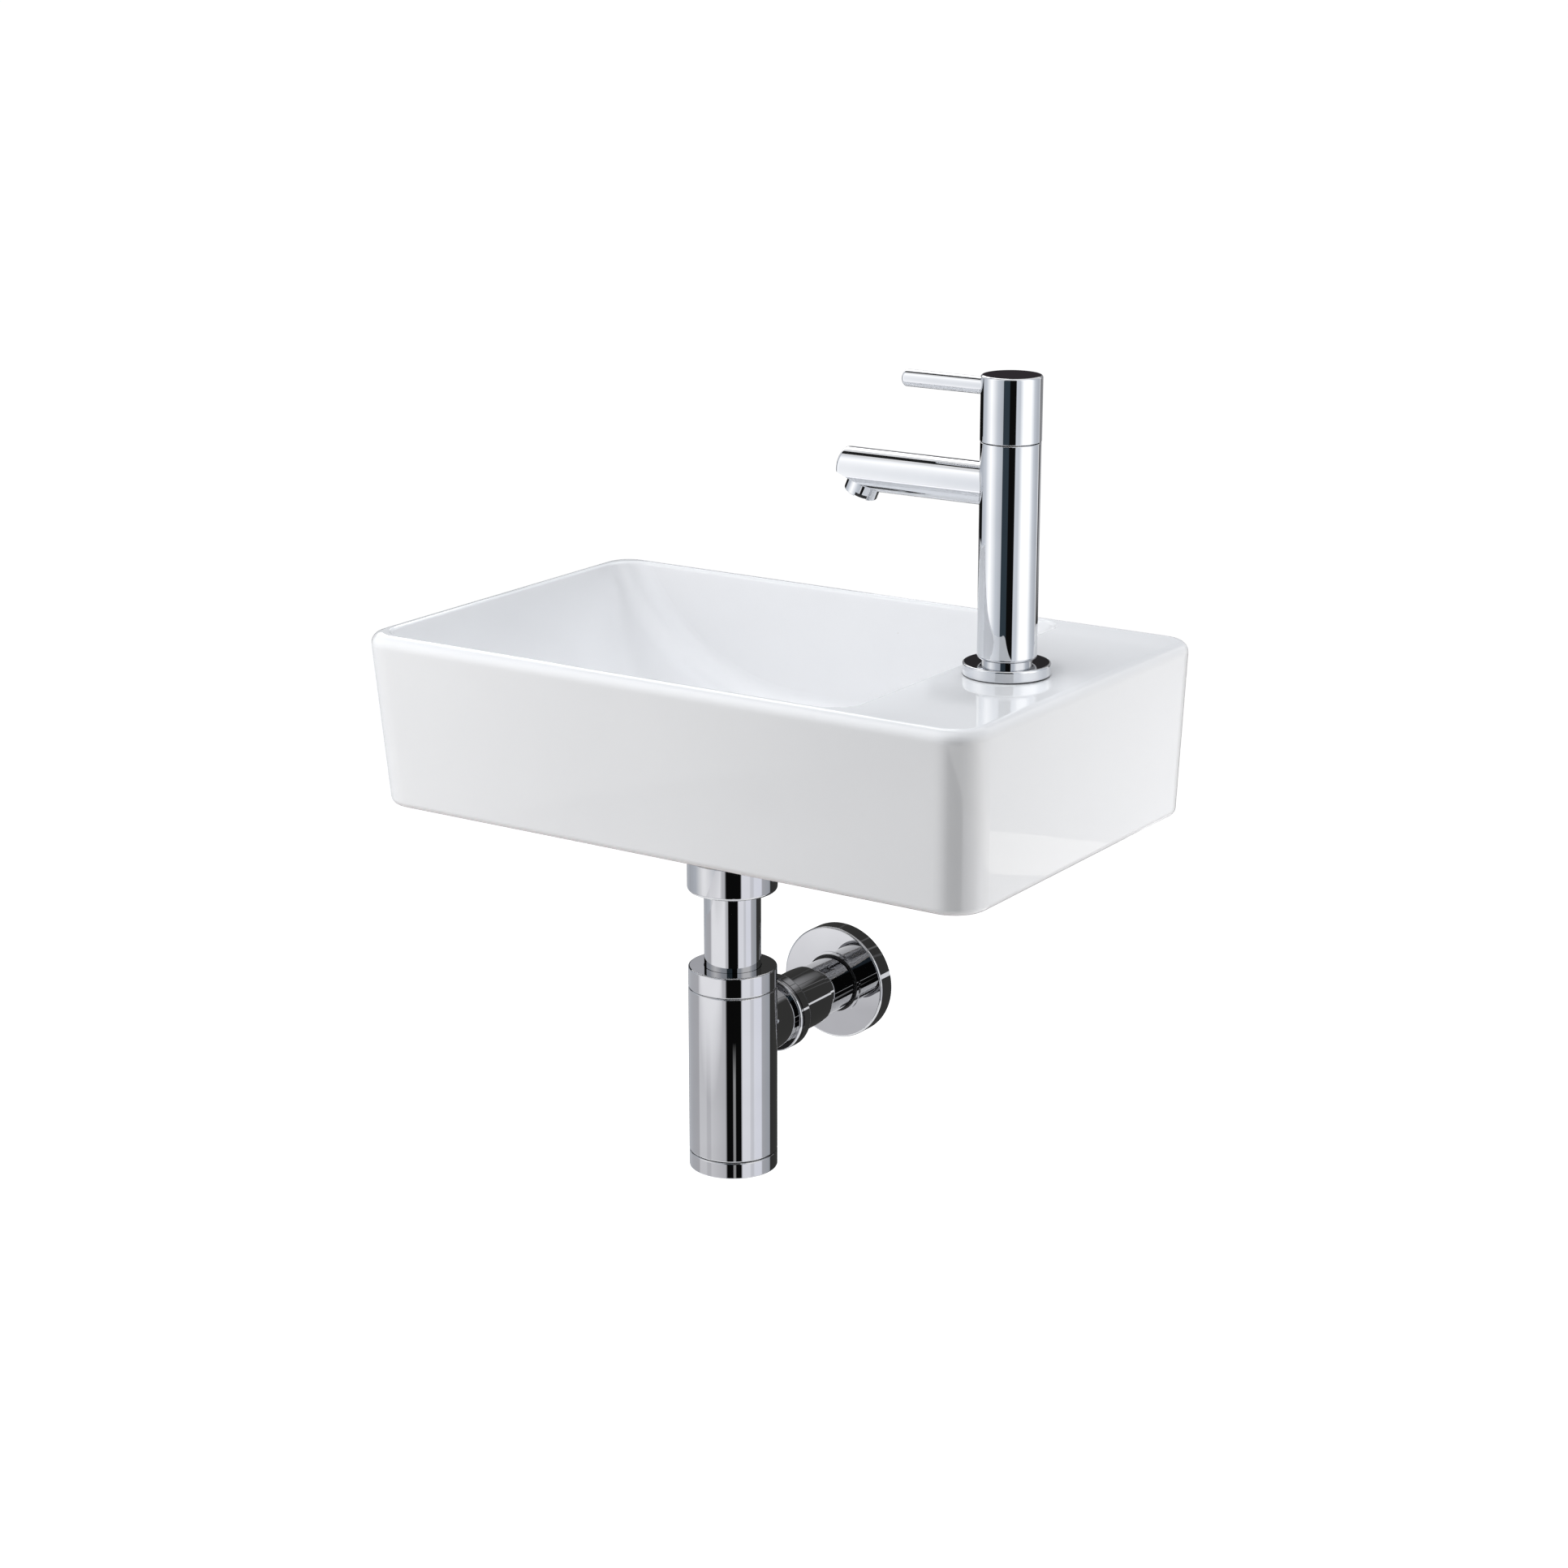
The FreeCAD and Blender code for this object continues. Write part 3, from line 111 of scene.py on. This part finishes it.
# Tones of the finishes, darker and lighter
GLAZE_TONES = ((0.875, 0.874, 0.882), (0.905, 0.904, 0.909))
SPECK_TONE = (0.5, 0.43, 0.35)
# The thin glaze above the foot: warm clay showing through, darkened further as painted shade
THIN_GLAZE_SHADE_TONE = (0.46, 0.4, 0.39)
CLAY_TONE = (0.76, 0.71, 0.65)
TAP_TONE = (0.66, 0.67, 0.69)
# The trap's plate is the tap's chrome, toned darker as painted shade for the dimmer light below the basin
TRAP_SHADED_TONE = (0.47, 0.472, 0.485)
WASTE_TONE = (0.62, 0.625, 0.64)
CHROME_SPREAD = 0.03
BRASS_TONES = ((0.62, 0.43, 0.18), (0.76, 0.57, 0.27))
STEEL_TONES = ((0.5, 0.5, 0.51), (0.62, 0.62, 0.62))
RUBBER_TONES = ((0.018, 0.018, 0.019), (0.034, 0.034, 0.035))
PLASTIC_TONES = ((0.8, 0.8, 0.78), (0.86, 0.86, 0.84))
BLACK_PLASTIC_TONES = ((0.016, 0.016, 0.017), (0.026, 0.026, 0.027))
CERAMIC_TONES = ((0.84, 0.82, 0.76), (0.88, 0.87, 0.82))

# The floor and the sky, with the distances from the object over which the floor turns white
RIM_ABOVE_FLOOR = 0.85
FLOOR_Z = BASIN_HIGH.z - RIM_ABOVE_FLOOR
FLOOR_SPAN = 60
FLOOR_TONE = (0.88, 0.88, 0.88)
GLOW_START = 0.7
GLOW_END = 2.0
GLOW_NEAR = 0.62
GLOW_FAR = 1.0
SKY_TONE = (0.97, 0.985, 1)
SKY_STRENGTH = 0.02

# Lamps, with bearings in degrees to the right of the camera as seen from the object
NEUTRAL = (1, 1, 1)
COOL = (0.93, 0.96, 1)
Lamp = namedtuple("Lamp", "name bearing distance height width tall power colour", defaults=[NEUTRAL])
LAMPS = (
    Lamp("left_softbox", bearing=-77, distance=1.0, height=0.15, width=1.2, tall=1.5, power=9.4),
    Lamp("right_softbox", bearing=83, distance=1.35, height=-0.32, width=0.8, tall=0.9, power=13.5),
    Lamp("back_softbox", bearing=155, distance=1.35, height=1.0, width=1.3, tall=0.55, power=15, colour=COOL),
    Lamp("top_softbox", bearing=-20, distance=0.45, height=1.5, width=1.2, tall=1.0, power=18.5, colour=COOL),
    Lamp("front_softbox", bearing=8, distance=1.6, height=0.2, width=0.5, tall=0.5, power=1.2),
)

# Shades that the bright metal mirrors
GLARE = (1.55, 1.55, 1.55)
CLEAR = (1.25, 1.26, 1.28)
PALE = (0.8, 0.84, 0.9)
MIST = (0.62, 0.65, 0.7)
NAVY = (0.04, 0.058, 0.074)
BLACK = (0.006, 0.006, 0.006)

# Two drums round the object, one above the other, with the bearings where one shade gives way to the next
DRUM_RADIUS = 1.0
DRUM_STEP = 4
DRUM_TOP = 1.5
PARTING_Z = -0.353
TAP_BANDS = (
    (-128, MIST), (-104, PALE), (-90, CLEAR), (-78, GLARE), (-66, CLEAR), (-50, PALE), (-30, MIST),
    (-28, NAVY), (-7, NAVY), (-5, BLACK), (17, BLACK), (19, PALE), (32, PALE), (46, GLARE), (78, GLARE),
    (96, PALE), (112, MIST), (128, MIST),
)
TRAP_BANDS = (
    (-180, MIST), (-100, (0.75, 0.75, 0.78)), (-97, (1.07, 1.07, 1.1)), (-75, (1.08, 1.08, 1.11)),
    (-71, (0.9, 0.9, 0.93)), (-62, (0.9, 0.9, 0.93)), (-58, (1.08, 1.08, 1.11)),
    (-20, (0.86, 0.86, 0.89)), (-16, BLACK), (20, BLACK), (24, (1.36, 1.37, 1.44)),
    (43, (1.36, 1.37, 1.44)), (47, (1.11, 1.12, 1.18)), (53, (1.1, 1.11, 1.17)),
    (57, (1.34, 1.36, 1.46)), (77, (1.32, 1.34, 1.46)), (81, (0.72, 0.73, 0.77)), (105, MIST),
    (112, (0.04, 0.04, 0.042)), (180, (0.1, 0.1, 0.1)),
)

# Upright cards inside the drums, between two bearings, with the shares of width and height that fade
FLAG_FADE = 0.06
Flag = namedtuple("Flag", "name axis start end distance low high shade soft_across soft_up",
                  defaults=[FLAG_FADE, 0])
FLAGS = (
    Flag("trap_glow", TRAP_AXIS, start=-96, end=-26, distance=0.98, low=-0.5, high=-0.28,
         shade=(1.5, 1.5, 1.53), soft_across=0.1, soft_up=0.35),
    Flag("trap_slit", TRAP_AXIS, start=-1, end=7, distance=0.98, low=-0.68, high=-0.51,
         shade=(0.5, 0.5, 0.5), soft_across=0.2, soft_up=0.2),
    Flag("cap_edge", TAP_AXIS, start=-176, end=-124, distance=0.97, low=-0.05, high=0.25, shade=BLACK),
    Flag("left_edge", TAP_AXIS, start=-168, end=-127, distance=0.98, low=PARTING_Z, high=0.25, shade=MIST),
    Flag("right_edge", TAP_AXIS, start=131, end=178, distance=0.98, low=PARTING_Z, high=0.25,
         shade=(0.04, 0.036, 0.042)),
)

# Upright boards behind the object, with the patches and streaks of light that stand before them
BOARD_TOP = 0.075
Card = namedtuple("Card", "name left depth low width tall shade soft_across soft_up", defaults=[0, 0])
BOARDS = (
    Card("tap_board", left=-0.42, depth=0.2, low=0.14, width=0.64, tall=0.24, shade=(0.33, 0.33, 0.34)),
    Card("deck_board", left=-0.12, depth=0.198, low=0.03, width=0.34, tall=0.14,
         shade=(0.46, 0.46, 0.47), soft_across=0.15, soft_up=0.25),
    Card("ring_patch", left=-0.1, depth=0.196, low=0.156, width=0.104, tall=0.04,
         shade=(0.03, 0.028, 0.03), soft_across=0.08, soft_up=0.15),
    Card("cap_patch", left=-0.11, depth=0.196, low=0.25, width=0.14, tall=0.08,
         shade=(0.035, 0.03, 0.034), soft_across=0.12, soft_up=0.15),
    Card("nut_patch", left=-0.33, depth=0.194, low=-0.02, width=0.1, tall=0.06,
         shade=(0.6, 0.605, 0.64), soft_across=0.12, soft_up=0.1),
    Card("outlet_board", left=-0.42, depth=0.2, low=FLOOR_Z, width=0.64, tall=BOARD_TOP - FLOOR_Z,
         shade=(0.06, 0.06, 0.058)),
    Card("outlet_line", left=0.1, depth=0.195, low=-0.17, width=0.1, tall=0.025, shade=CLEAR),
)
STREAK_PLACES = (-0.15, 0.0, 0.06, 0.1)
STREAK_GLINTS = (0.11, 0.16, 0.22, 0.13)
STREAKS = tuple(
    Card(f"outlet_streak_{k}", left=place, depth=0.195, low=-0.12, width=0.012, tall=0.19,
         shade=(glint, glint, glint), soft_across=0.3)
    for k, (place, glint) in enumerate(zip(STREAK_PLACES, STREAK_GLINTS))
)
BACK_STRIP = Card("back_strip", left=-2.2, depth=1.2, low=0.6, width=1.6, tall=1.7,
                  shade=(3.5, 3.5, 3.5), soft_across=0.05, soft_up=0.05)
CARD_STEPS = 24

# A dark bar that lies level above the object
BAR_CORNER = Vector((-1.0, -0.23, 1.17))
BAR_LENGTH = 1.1
BAR_WIDTH = 0.36
BAR_SHADE = (0.02, 0.02, 0.02)


def add_node(tree, kind, settings=None, inputs=None):
    """Add a shader node, set its properties, and fill or link its inputs."""
    node = tree.nodes.new("ShaderNode" + kind)
    for name, value in (settings or {}).items():
        setattr(node, name, value)
    for name, value in (inputs or {}).items():
        if isinstance(value, bpy.types.NodeSocket):
            tree.links.new(value, node.inputs[name])
        else:
            node.inputs[name].default_value = value
    return node


def combine(tree, operation, first, second):
    """Join two shares by their product or by the greater one."""
    return add_node(tree, "Math", {"operation": operation}, {0: first, 1: second}).outputs[0]


def noise(tree, scale, detail, stretch=(1, 1, 1)):
    """Noise in the object's own frame, with cells about 1 / scale metres across."""
    place = add_node(tree, "TexCoord").outputs["Object"]
    mapped = add_node(tree, "Mapping", inputs={"Vector": place, "Scale": stretch})
    pattern = add_node(tree, "TexNoise", inputs={
        "Vector": mapped.outputs["Vector"], "Scale": scale, "Detail": detail,
    })
    return pattern.outputs["Fac"]


def spread(tree, factor, low, high, start=0.3, end=0.7):
    """Turn a pattern that runs from start to end into a value between low and high."""
    made = add_node(tree, "MapRange", inputs={
        "Value": factor, "From Min": start, "From Max": end, "To Min": low, "To Max": high,
    })
    return made.outputs["Result"]


def tint(tree, factor, tones, start=0.3, end=0.7):
    """Turn a pattern that runs from start to end into a colour between two tones."""
    ramp = add_node(tree, "ValToRGB", inputs={"Fac": factor})
    for stop, place, colour in zip(ramp.color_ramp.elements, (start, end), tones):
        stop.position = place
        stop.color = (*colour, 1)
    return ramp.outputs["Color"]


def blend(tree, share, under, over):
    """Lay one colour over another by a share."""
    node = add_node(tree, "Mix", {"data_type": "RGBA"})
    sockets = {socket.identifier: socket for socket in node.inputs}
    tree.links.new(share, sockets["Factor_Float"])
    tree.links.new(under, sockets["A_Color"])
    sockets["B_Color"].default_value = (*over, 1)
    return next(socket for socket in node.outputs if socket.identifier == "Result_Color")


def bump(tree, height, strength, distance):
    inputs = {"Height": height, "Strength": strength, "Distance": distance}
    return add_node(tree, "Bump", inputs=inputs).outputs["Normal"]


def new_material(name, constants):
    """A material with one Principled shader, whose constant values sit on its own sockets."""
    material = bpy.data.materials.new(name)
    material.use_nodes = True
    shader = material.node_tree.nodes["Principled BSDF"]
    for socket, value in constants.items():
        shader.inputs[socket].default_value = value
    return material, material.node_tree, shader


def feed(tree, shader, links):
    for socket, output in links.items():
        tree.links.new(output, shader.inputs[socket])


def make_glaze():
    """White glaze with a few tiny specks, thin and darker above the foot (clay showing through, with painted
    shade), and left off the wall face and the foot.
    """
    material, tree, shader = new_material("white_glaze", {"IOR": 1.52})
    place = add_node(tree, "TexCoord").outputs["Object"]
    along = add_node(tree, "SeparateXYZ", inputs={"Vector": place}).outputs
    foot_z, end_x = BASIN_LOW.z, BASIN_HIGH.x
    wall = spread(tree, along["Y"], 0, 1, -BARE_EDGE, -BARE_EDGE / 2)
    foot = spread(tree, along["Z"], 1, 0, foot_z + BARE_FOOT / 2, foot_z + BARE_FOOT)
    bare = combine(tree, "MAXIMUM", wall, foot)
    cells = add_node(tree, "TexVoronoi", inputs={"Vector": place, "Scale": 40})
    speck = spread(tree, cells.outputs["Distance"], low=0.7, high=0, start=0.007, end=0.013)
    tone = tint(tree, noise(tree, scale=7, detail=3), GLAZE_TONES)
    tone = blend(tree, speck, tone, SPECK_TONE)
    # Darker towards the foot: the thin glaze shows the clay, and painted shade stands in for the underturned
    # edge getting less light
    thin_shade_rise = spread(tree, along["Z"], 1, 0, foot_z + THIN_SHADE_LOW, foot_z + THIN_SHADE_HIGH)
    thin_shade_reach = spread(tree, along["X"], 1, THIN_SHADE_LEAST, end_x - THIN_SHADE_END, end_x)
    tone = blend(tree, combine(tree, "MULTIPLY", thin_shade_rise, thin_shade_reach), tone, THIN_GLAZE_SHADE_TONE)
    feed(tree, shader, {
        "Base Color": blend(tree, bare, tone, CLAY_TONE),
        "Roughness": spread(tree, bare, low=0.008, high=0.7, start=0, end=1),
        "Normal": bump(tree, noise(tree, scale=22, detail=1), strength=0.03, distance=0.001),
    })
    return material


def make_chrome(name, tone, ripple):
    """Polished plate: a mirror with faint cloudiness and a slow ripple."""
    material, tree, shader = new_material(name, {"Metallic": 1.0})
    low = tuple(part * (1 - CHROME_SPREAD) for part in tone)
    high = tuple(part * (1 + CHROME_SPREAD) for part in tone)
    feed(tree, shader, {
        "Base Color": tint(tree, noise(tree, scale=35, detail=3), (low, high)),
        "Roughness": spread(tree, noise(tree, scale=160, detail=4), low=0.004, high=0.022),
        "Normal": bump(tree, noise(tree, scale=40, detail=1), strength=ripple, distance=0.001),
    })
    return material


def make_brass():
    """Turned brass, with fine rings round it."""
    material, tree, shader = new_material("turned_brass", {"Metallic": 1.0})
    rings = noise(tree, scale=1500, detail=2, stretch=(0.02, 0.02, 1))
    feed(tree, shader, {
        "Base Color": tint(tree, noise(tree, scale=90, detail=4), BRASS_TONES),
        "Roughness": spread(tree, rings, low=0.22, high=0.4),
        "Normal": bump(tree, rings, strength=0.3, distance=0.0002),
    })
    return material


def make_steel():
    """Brushed steel, with its grain along the depth."""
    material, tree, shader = new_material("brushed_steel", {"Metallic": 1.0})
    grain = noise(tree, scale=900, detail=3, stretch=(1, 0.05, 1))
    feed(tree, shader, {
        "Base Color": tint(tree, grain, STEEL_TONES),
        "Roughness": spread(tree, grain, low=0.22, high=0.38),
        "Normal": bump(tree, grain, strength=0.15, distance=0.0001),
    })
    return material


def make_rubber():
    material, tree, shader = new_material("black_rubber", {"IOR": 1.5})
    grain = noise(tree, scale=1200, detail=4)
    feed(tree, shader, {
        "Base Color": tint(tree, noise(tree, scale=200, detail=3), RUBBER_TONES),
        "Roughness": spread(tree, grain, low=0.55, high=0.8),
        "Normal": bump(tree, grain, strength=0.25, distance=0.0002),
    })
    return material


def make_plastic():
    material, tree, shader = new_material("white_plastic", {"IOR": 1.5})
    grain = noise(tree, scale=600, detail=3)
    feed(tree, shader, {
        "Base Color": tint(tree, noise(tree, scale=120, detail=2), PLASTIC_TONES),
        "Roughness": spread(tree, grain, low=0.3, high=0.45),
        "Normal": bump(tree, grain, strength=0.1, distance=0.0002),
    })
    return material


def make_black_plastic():
    material, tree, shader = new_material("black_plastic", {"IOR": 1.5})
    grain = noise(tree, scale=700, detail=3)
    feed(tree, shader, {
        "Base Color": tint(tree, noise(tree, scale=150, detail=2), BLACK_PLASTIC_TONES),
        "Roughness": spread(tree, grain, low=0.35, high=0.5),
        "Normal": bump(tree, grain, strength=0.1, distance=0.0002),
    })
    return material


def make_disc_ceramic():
    """The lapped ceramic of the valve's two discs."""
    material, tree, shader = new_material("lapped_ceramic", {"IOR": 1.77})
    grain = noise(tree, scale=2500, detail=2)
    feed(tree, shader, {
        "Base Color": tint(tree, noise(tree, scale=300, detail=3), CERAMIC_TONES),
        "Roughness": spread(tree, grain, low=0.12, high=0.25),
        "Normal": bump(tree, grain, strength=0.05, distance=0.0001),
    })
    return material


FINISHES = {
    "glaze": make_glaze(),
    "tap_chrome": make_chrome("tap_chrome", TAP_TONE, ripple=0.002),
    # The trap's tone is darkened as painted shade for the dimmer light below the basin
    "trap_chrome": make_chrome("trap_chrome", TRAP_SHADED_TONE, ripple=0.004),
    "waste_chrome": make_chrome("waste_chrome", WASTE_TONE, ripple=0.004),
    "bare_brass": make_brass(),
    "bare_steel": make_steel(),
    "black_rubber": make_rubber(),
    "white_plastic": make_plastic(),
    "black_plastic": make_black_plastic(),
    "disc_ceramic": make_disc_ceramic(),
}


def dress_nodes():
    """Put each node's finish in its material slots."""
    for row in frame["record"]["subparts"]:
        for slot in nodes[row["node"]].material_slots:
            slot.material = FINISHES[row["material_slot"]]


def grid_mesh(name, rows, closed=False):
    """A sheet of quads through rows of points, or a closed tube whose wall they run round."""
    tall, wide = len(rows), len(rows[0])
    last_row, last_column = (tall, wide) if closed else (tall - 1, wide - 1)

    def point_at(row, column):
        return row % tall * wide + column % wide
    faces = [(point_at(r, c), point_at(r, c + 1), point_at(r + 1, c + 1), point_at(r + 1, c))
             for r in range(last_row) for c in range(last_column)]
    mesh = bpy.data.meshes.new(name)
    mesh.from_pydata([point for row in rows for point in row], [], faces)
    made = bpy.data.objects.new(name, mesh)
    bpy.context.scene.collection.objects.link(made)
    return made


Thread = namedtuple("Thread", "axis low high bore crest depth pitch")


def thread_radius(thread, turn, height):
    """The radius of a screw thread, whose ends run out."""
    wave = abs((height / thread.pitch - turn) % 1 * 2 - 1)
    flank = min(max((wave - CREST_SHARE) / FLANK_SHARE, 0), 1)
    fade = min((height - thread.low) / thread.pitch, (thread.high - height) / thread.pitch, 1)
    return thread.crest - thread.depth * flank * max(fade, 0)


def ring_at(axis, height, radii):
    """A level ring of points round an upright axis, one for each radius."""
    angles = [math.tau * k / len(radii) for k in range(len(radii))]
    return [(axis.x + radius * math.cos(angle), axis.y + radius * math.sin(angle), height)
            for radius, angle in zip(radii, angles)]


def make_threaded_tube(name, thread, slot, body):
    """A tube with a real screw thread on its outside."""
    steps = round((thread.high - thread.low) / thread.pitch * RINGS_PER_PITCH)
    turns = [k / POINTS_AROUND for k in range(POINTS_AROUND)]
    rows = []
    for k in range(steps + 1):
        height = thread.low + (thread.high - thread.low) * k / steps
        rows.append(ring_at(thread.axis, height, [thread_radius(thread, turn, height) for turn in turns]))
    for height in (thread.high, thread.low):
        rows.append(ring_at(thread.axis, height, [thread.bore] * POINTS_AROUND))
    tube = grid_mesh(name, rows, closed=True)
    tube.data.materials.append(FINISHES[slot])
    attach(tube, body)
    return tube


def make_threads():
    """The threads that the backnuts and the trap's inlet nut run on."""
    low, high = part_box("tap_shank")
    shank_thread = Thread(
        TAP_AXIS, low.z, high.z, bore=SHANK_BORE, crest=(high.x - low.x) / 2,
        depth=SHANK_THREAD_DEPTH, pitch=SHANK_THREAD_PITCH,
    )
    shank = make_threaded_tube("tap_shank_thread", shank_thread, "bare_brass", "basin_set")
    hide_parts("tap_shank")
    tail_thread = Thread(
        TRAP_AXIS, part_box("inlet_nut")[1].z + TAIL_GAP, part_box("waste_backnut")[0].z - TAIL_GAP,
        bore=TAIL_RADIUS - TAIL_THREAD_DEPTH, crest=TAIL_RADIUS + TAIL_THREAD_DEPTH,
        depth=TAIL_THREAD_DEPTH, pitch=TAIL_THREAD_PITCH,
    )
    make_threaded_tube("waste_tail_thread", tail_thread, "waste_chrome", "basin_set")


def towards(axis, bearing, distance, height):
    """A place round an upright axis, at a bearing to the right of the camera."""
    camera_bearing = math.atan2(CAMERA_PLACE.x - axis.x, axis.y - CAMERA_PLACE.y)
    turn = camera_bearing + math.radians(bearing)
    return Vector((axis.x + distance * math.sin(turn), axis.y - distance * math.cos(turn), height))


def seen_white(tree):
    """1 on rays that show the background: from the camera, in a mirror or through glass."""
    path = add_node(tree, "LightPath").outputs
    shown = combine(tree, "MAXIMUM", path["Is Camera Ray"], path["Is Glossy Ray"])
    return combine(tree, "MAXIMUM", shown, path["Is Transmission Ray"])


def mix_shaders(tree, share, under, over, output):
    """Show one shader under another by a share."""
    mixed = add_node(tree, "MixShader", inputs={"Fac": share})
    tree.links.new(under.outputs[0], mixed.inputs[1])
    tree.links.new(over.outputs[0], mixed.inputs[2])
    tree.links.new(mixed.outputs[0], tree.nodes[output].inputs["Surface"])


def new_glow(name):
    """An empty material for a surface that glows without being sampled as a lamp."""
    material = bpy.data.materials.new(name)
    material.use_nodes = True
    material.cycles.emission_sampling = "NONE"
    tree = material.node_tree
    tree.nodes.remove(tree.nodes["Principled BSDF"])
    return material, tree


def make_world():
    """A dim sky that shows as plain white."""
    world = bpy.data.worlds.new("studio")
    world.use_nodes = True
    tree = world.node_tree
    soft = tree.nodes["Background"]
    soft.inputs["Color"].default_value = (*SKY_TONE, 1)
    soft.inputs["Strength"].default_value = SKY_STRENGTH
    white = add_node(tree, "Background", inputs={"Color": (1, 1, 1, 1), "Strength": 1.0})
    mix_shaders(tree, seen_white(tree), soft, white, "World Output")
    bpy.context.scene.world = world


def make_floor():
    """A pale floor that takes the object's shadow and turns white away from it."""
    half = FLOOR_SPAN / 2
    floor = grid_mesh("floor", [[(-half, -half, FLOOR_Z), (half, -half, FLOOR_Z)],
                                [(-half, half, FLOOR_Z), (half, half, FLOOR_Z)]])
    material, tree = new_glow("pale_floor")
    matt = add_node(tree, "BsdfDiffuse", inputs={"Color": (*FLOOR_TONE, 1)})
    place = add_node(tree, "NewGeometry").outputs["Position"]
    under = (MIDDLE.x, MIDDLE.y, FLOOR_Z)
    apart = add_node(tree, "VectorMath", {"operation": "DISTANCE"}, {0: place, 1: under})
    strength = spread(tree, apart.outputs["Value"], GLOW_NEAR, GLOW_FAR, GLOW_START, GLOW_END)
    glow = add_node(tree, "Emission", inputs={"Strength": strength})
    lit = add_node(tree, "AddShader")
    tree.links.new(matt.outputs[0], lit.inputs[0])
    tree.links.new(glow.outputs[0], lit.inputs[1])
    mix_shaders(tree, seen_white(tree), matt, lit, "Material Output")
    floor.data.materials.append(material)


def make_softbox(lamp):
    """A lamp aimed at the object; the drums and cards stand for it in the mirrors."""
    light = bpy.data.lights.new(lamp.name, "AREA")
    light.shape = "RECTANGLE"
    light.size = lamp.width
    light.size_y = lamp.tall
    light.energy = lamp.power
    light.color = lamp.colour
    box = bpy.data.objects.new(lamp.name, light)
    box.location = towards(MIDDLE, lamp.bearing, lamp.distance, lamp.height)
    box.rotation_euler = (MIDDLE - box.location).to_track_quat("-Z", "Y").to_euler()
    box.visible_camera = False
    box.visible_glossy = False
    bpy.context.scene.collection.objects.link(box)


def make_mirrored(name, rows, shades, covers):
    """A sheet that only mirrors see, with a shade and a cover at each point."""
    sheet = grid_mesh(name, rows)
    shade = sheet.data.attributes.new("shade", "FLOAT_COLOR", "POINT")
    shade.data.foreach_set("color", [part for colour in shades for part in (*colour, 1)])
    cover = sheet.data.attributes.new("cover", "FLOAT", "POINT")
    cover.data.foreach_set("value", covers)
    material, tree = new_glow(name)
    colour = add_node(tree, "Attribute", {"attribute_name": "shade"}).outputs["Color"]
    glow = add_node(tree, "Emission", inputs={"Color": colour})
    clear = add_node(tree, "BsdfTransparent")
    share = add_node(tree, "Attribute", {"attribute_name": "cover"}).outputs["Fac"]
    mix_shaders(tree, share, clear, glow, "Material Output")
    sheet.data.materials.append(material)
    for sort in ("camera", "diffuse", "transmission", "volume_scatter", "shadow"):
        setattr(sheet, "visible_" + sort, False)


def make_card(name, corner, across, up, shade, soft_across=0, soft_up=0):
    """A flat card from a corner along two edges, with edges that may fade."""
    rows, covers = [], []
    for r in range(CARD_STEPS + 1):
        row = []
        for c in range(CARD_STEPS + 1):
            u, v = c / CARD_STEPS, r / CARD_STEPS
            row.append(corner + across * u + up * v)
            side = min(u, 1 - u) / soft_across if soft_across else 1
            end = min(v, 1 - v) / soft_up if soft_up else 1
            covers.append(min(side, end, 1))
        rows.append(row)
    make_mirrored(name, rows, [shade] * len(covers), covers)


def make_flag(flag):
    """An upright card between two bearings to the right of the camera."""
    left = towards(flag.axis, flag.start, flag.distance, flag.low)
    right = towards(flag.axis, flag.end, flag.distance, flag.low)
    up = Vector((0, 0, flag.high - flag.low))
    make_card(flag.name, left, right - left, up, flag.shade, flag.soft_across, flag.soft_up)


def make_board(card):
    """An upright card that runs along the wall."""
    corner = Vector((card.left, card.depth, card.low))
    across, up = Vector((card.width, 0, 0)), Vector((0, 0, card.tall))
    make_card(card.name, corner, across, up, card.shade, card.soft_across, card.soft_up)


def make_drum(name, axis, low, high, bands):
    """An upright drum round an axis, shaded by bearing."""
    bearings, shades = [], []
    for (start, first), (end, second) in zip(bands, bands[1:]):
        steps = max(1, round((end - start) / DRUM_STEP))
        for k in range(steps):
            bearings.append(start + (end - start) * k / steps)
            shades.append(Vector(first).lerp(Vector(second), k / steps))
    bearings.append(bands[-1][0])
    shades.append(Vector(bands[-1][1]))
    rows = [[towards(axis, bearing, DRUM_RADIUS, height) for bearing in bearings] for height in (low, high)]
    make_mirrored(name, rows, shades * 2, [1.0] * len(shades) * 2)


def make_studio():
    make_world()
    make_floor()
    for lamp in LAMPS:
        make_softbox(lamp)
    make_drum("tap_drum", TAP_AXIS, PARTING_Z, DRUM_TOP, TAP_BANDS)
    make_drum("trap_drum", TRAP_AXIS, FLOOR_Z, PARTING_Z, TRAP_BANDS)
    for flag in FLAGS:
        make_flag(flag)
    for card in (*BOARDS, *STREAKS, BACK_STRIP):
        make_board(card)
    make_card("overhead_bar", BAR_CORNER, Vector((BAR_LENGTH, 0, 0)), Vector((0, BAR_WIDTH, 0)), BAR_SHADE)


def make_camera():
    lens = bpy.data.cameras.new("camera")
    lens.sensor_width = SENSOR
    lens.lens = FOCAL_PIXELS / IMAGE_PIXELS * SENSOR
    camera = bpy.data.objects.new("camera", lens)
    camera.location = CAMERA_PLACE
    camera.rotation_euler = Euler((math.radians(90 - CAMERA_TIP), 0, math.radians(CAMERA_TURN)))
    bpy.context.scene.collection.objects.link(camera)
    bpy.context.scene.camera = camera


dress_nodes()
make_threads()
make_studio()
make_camera()
bpy.context.scene.view_settings.view_transform = "Standard"
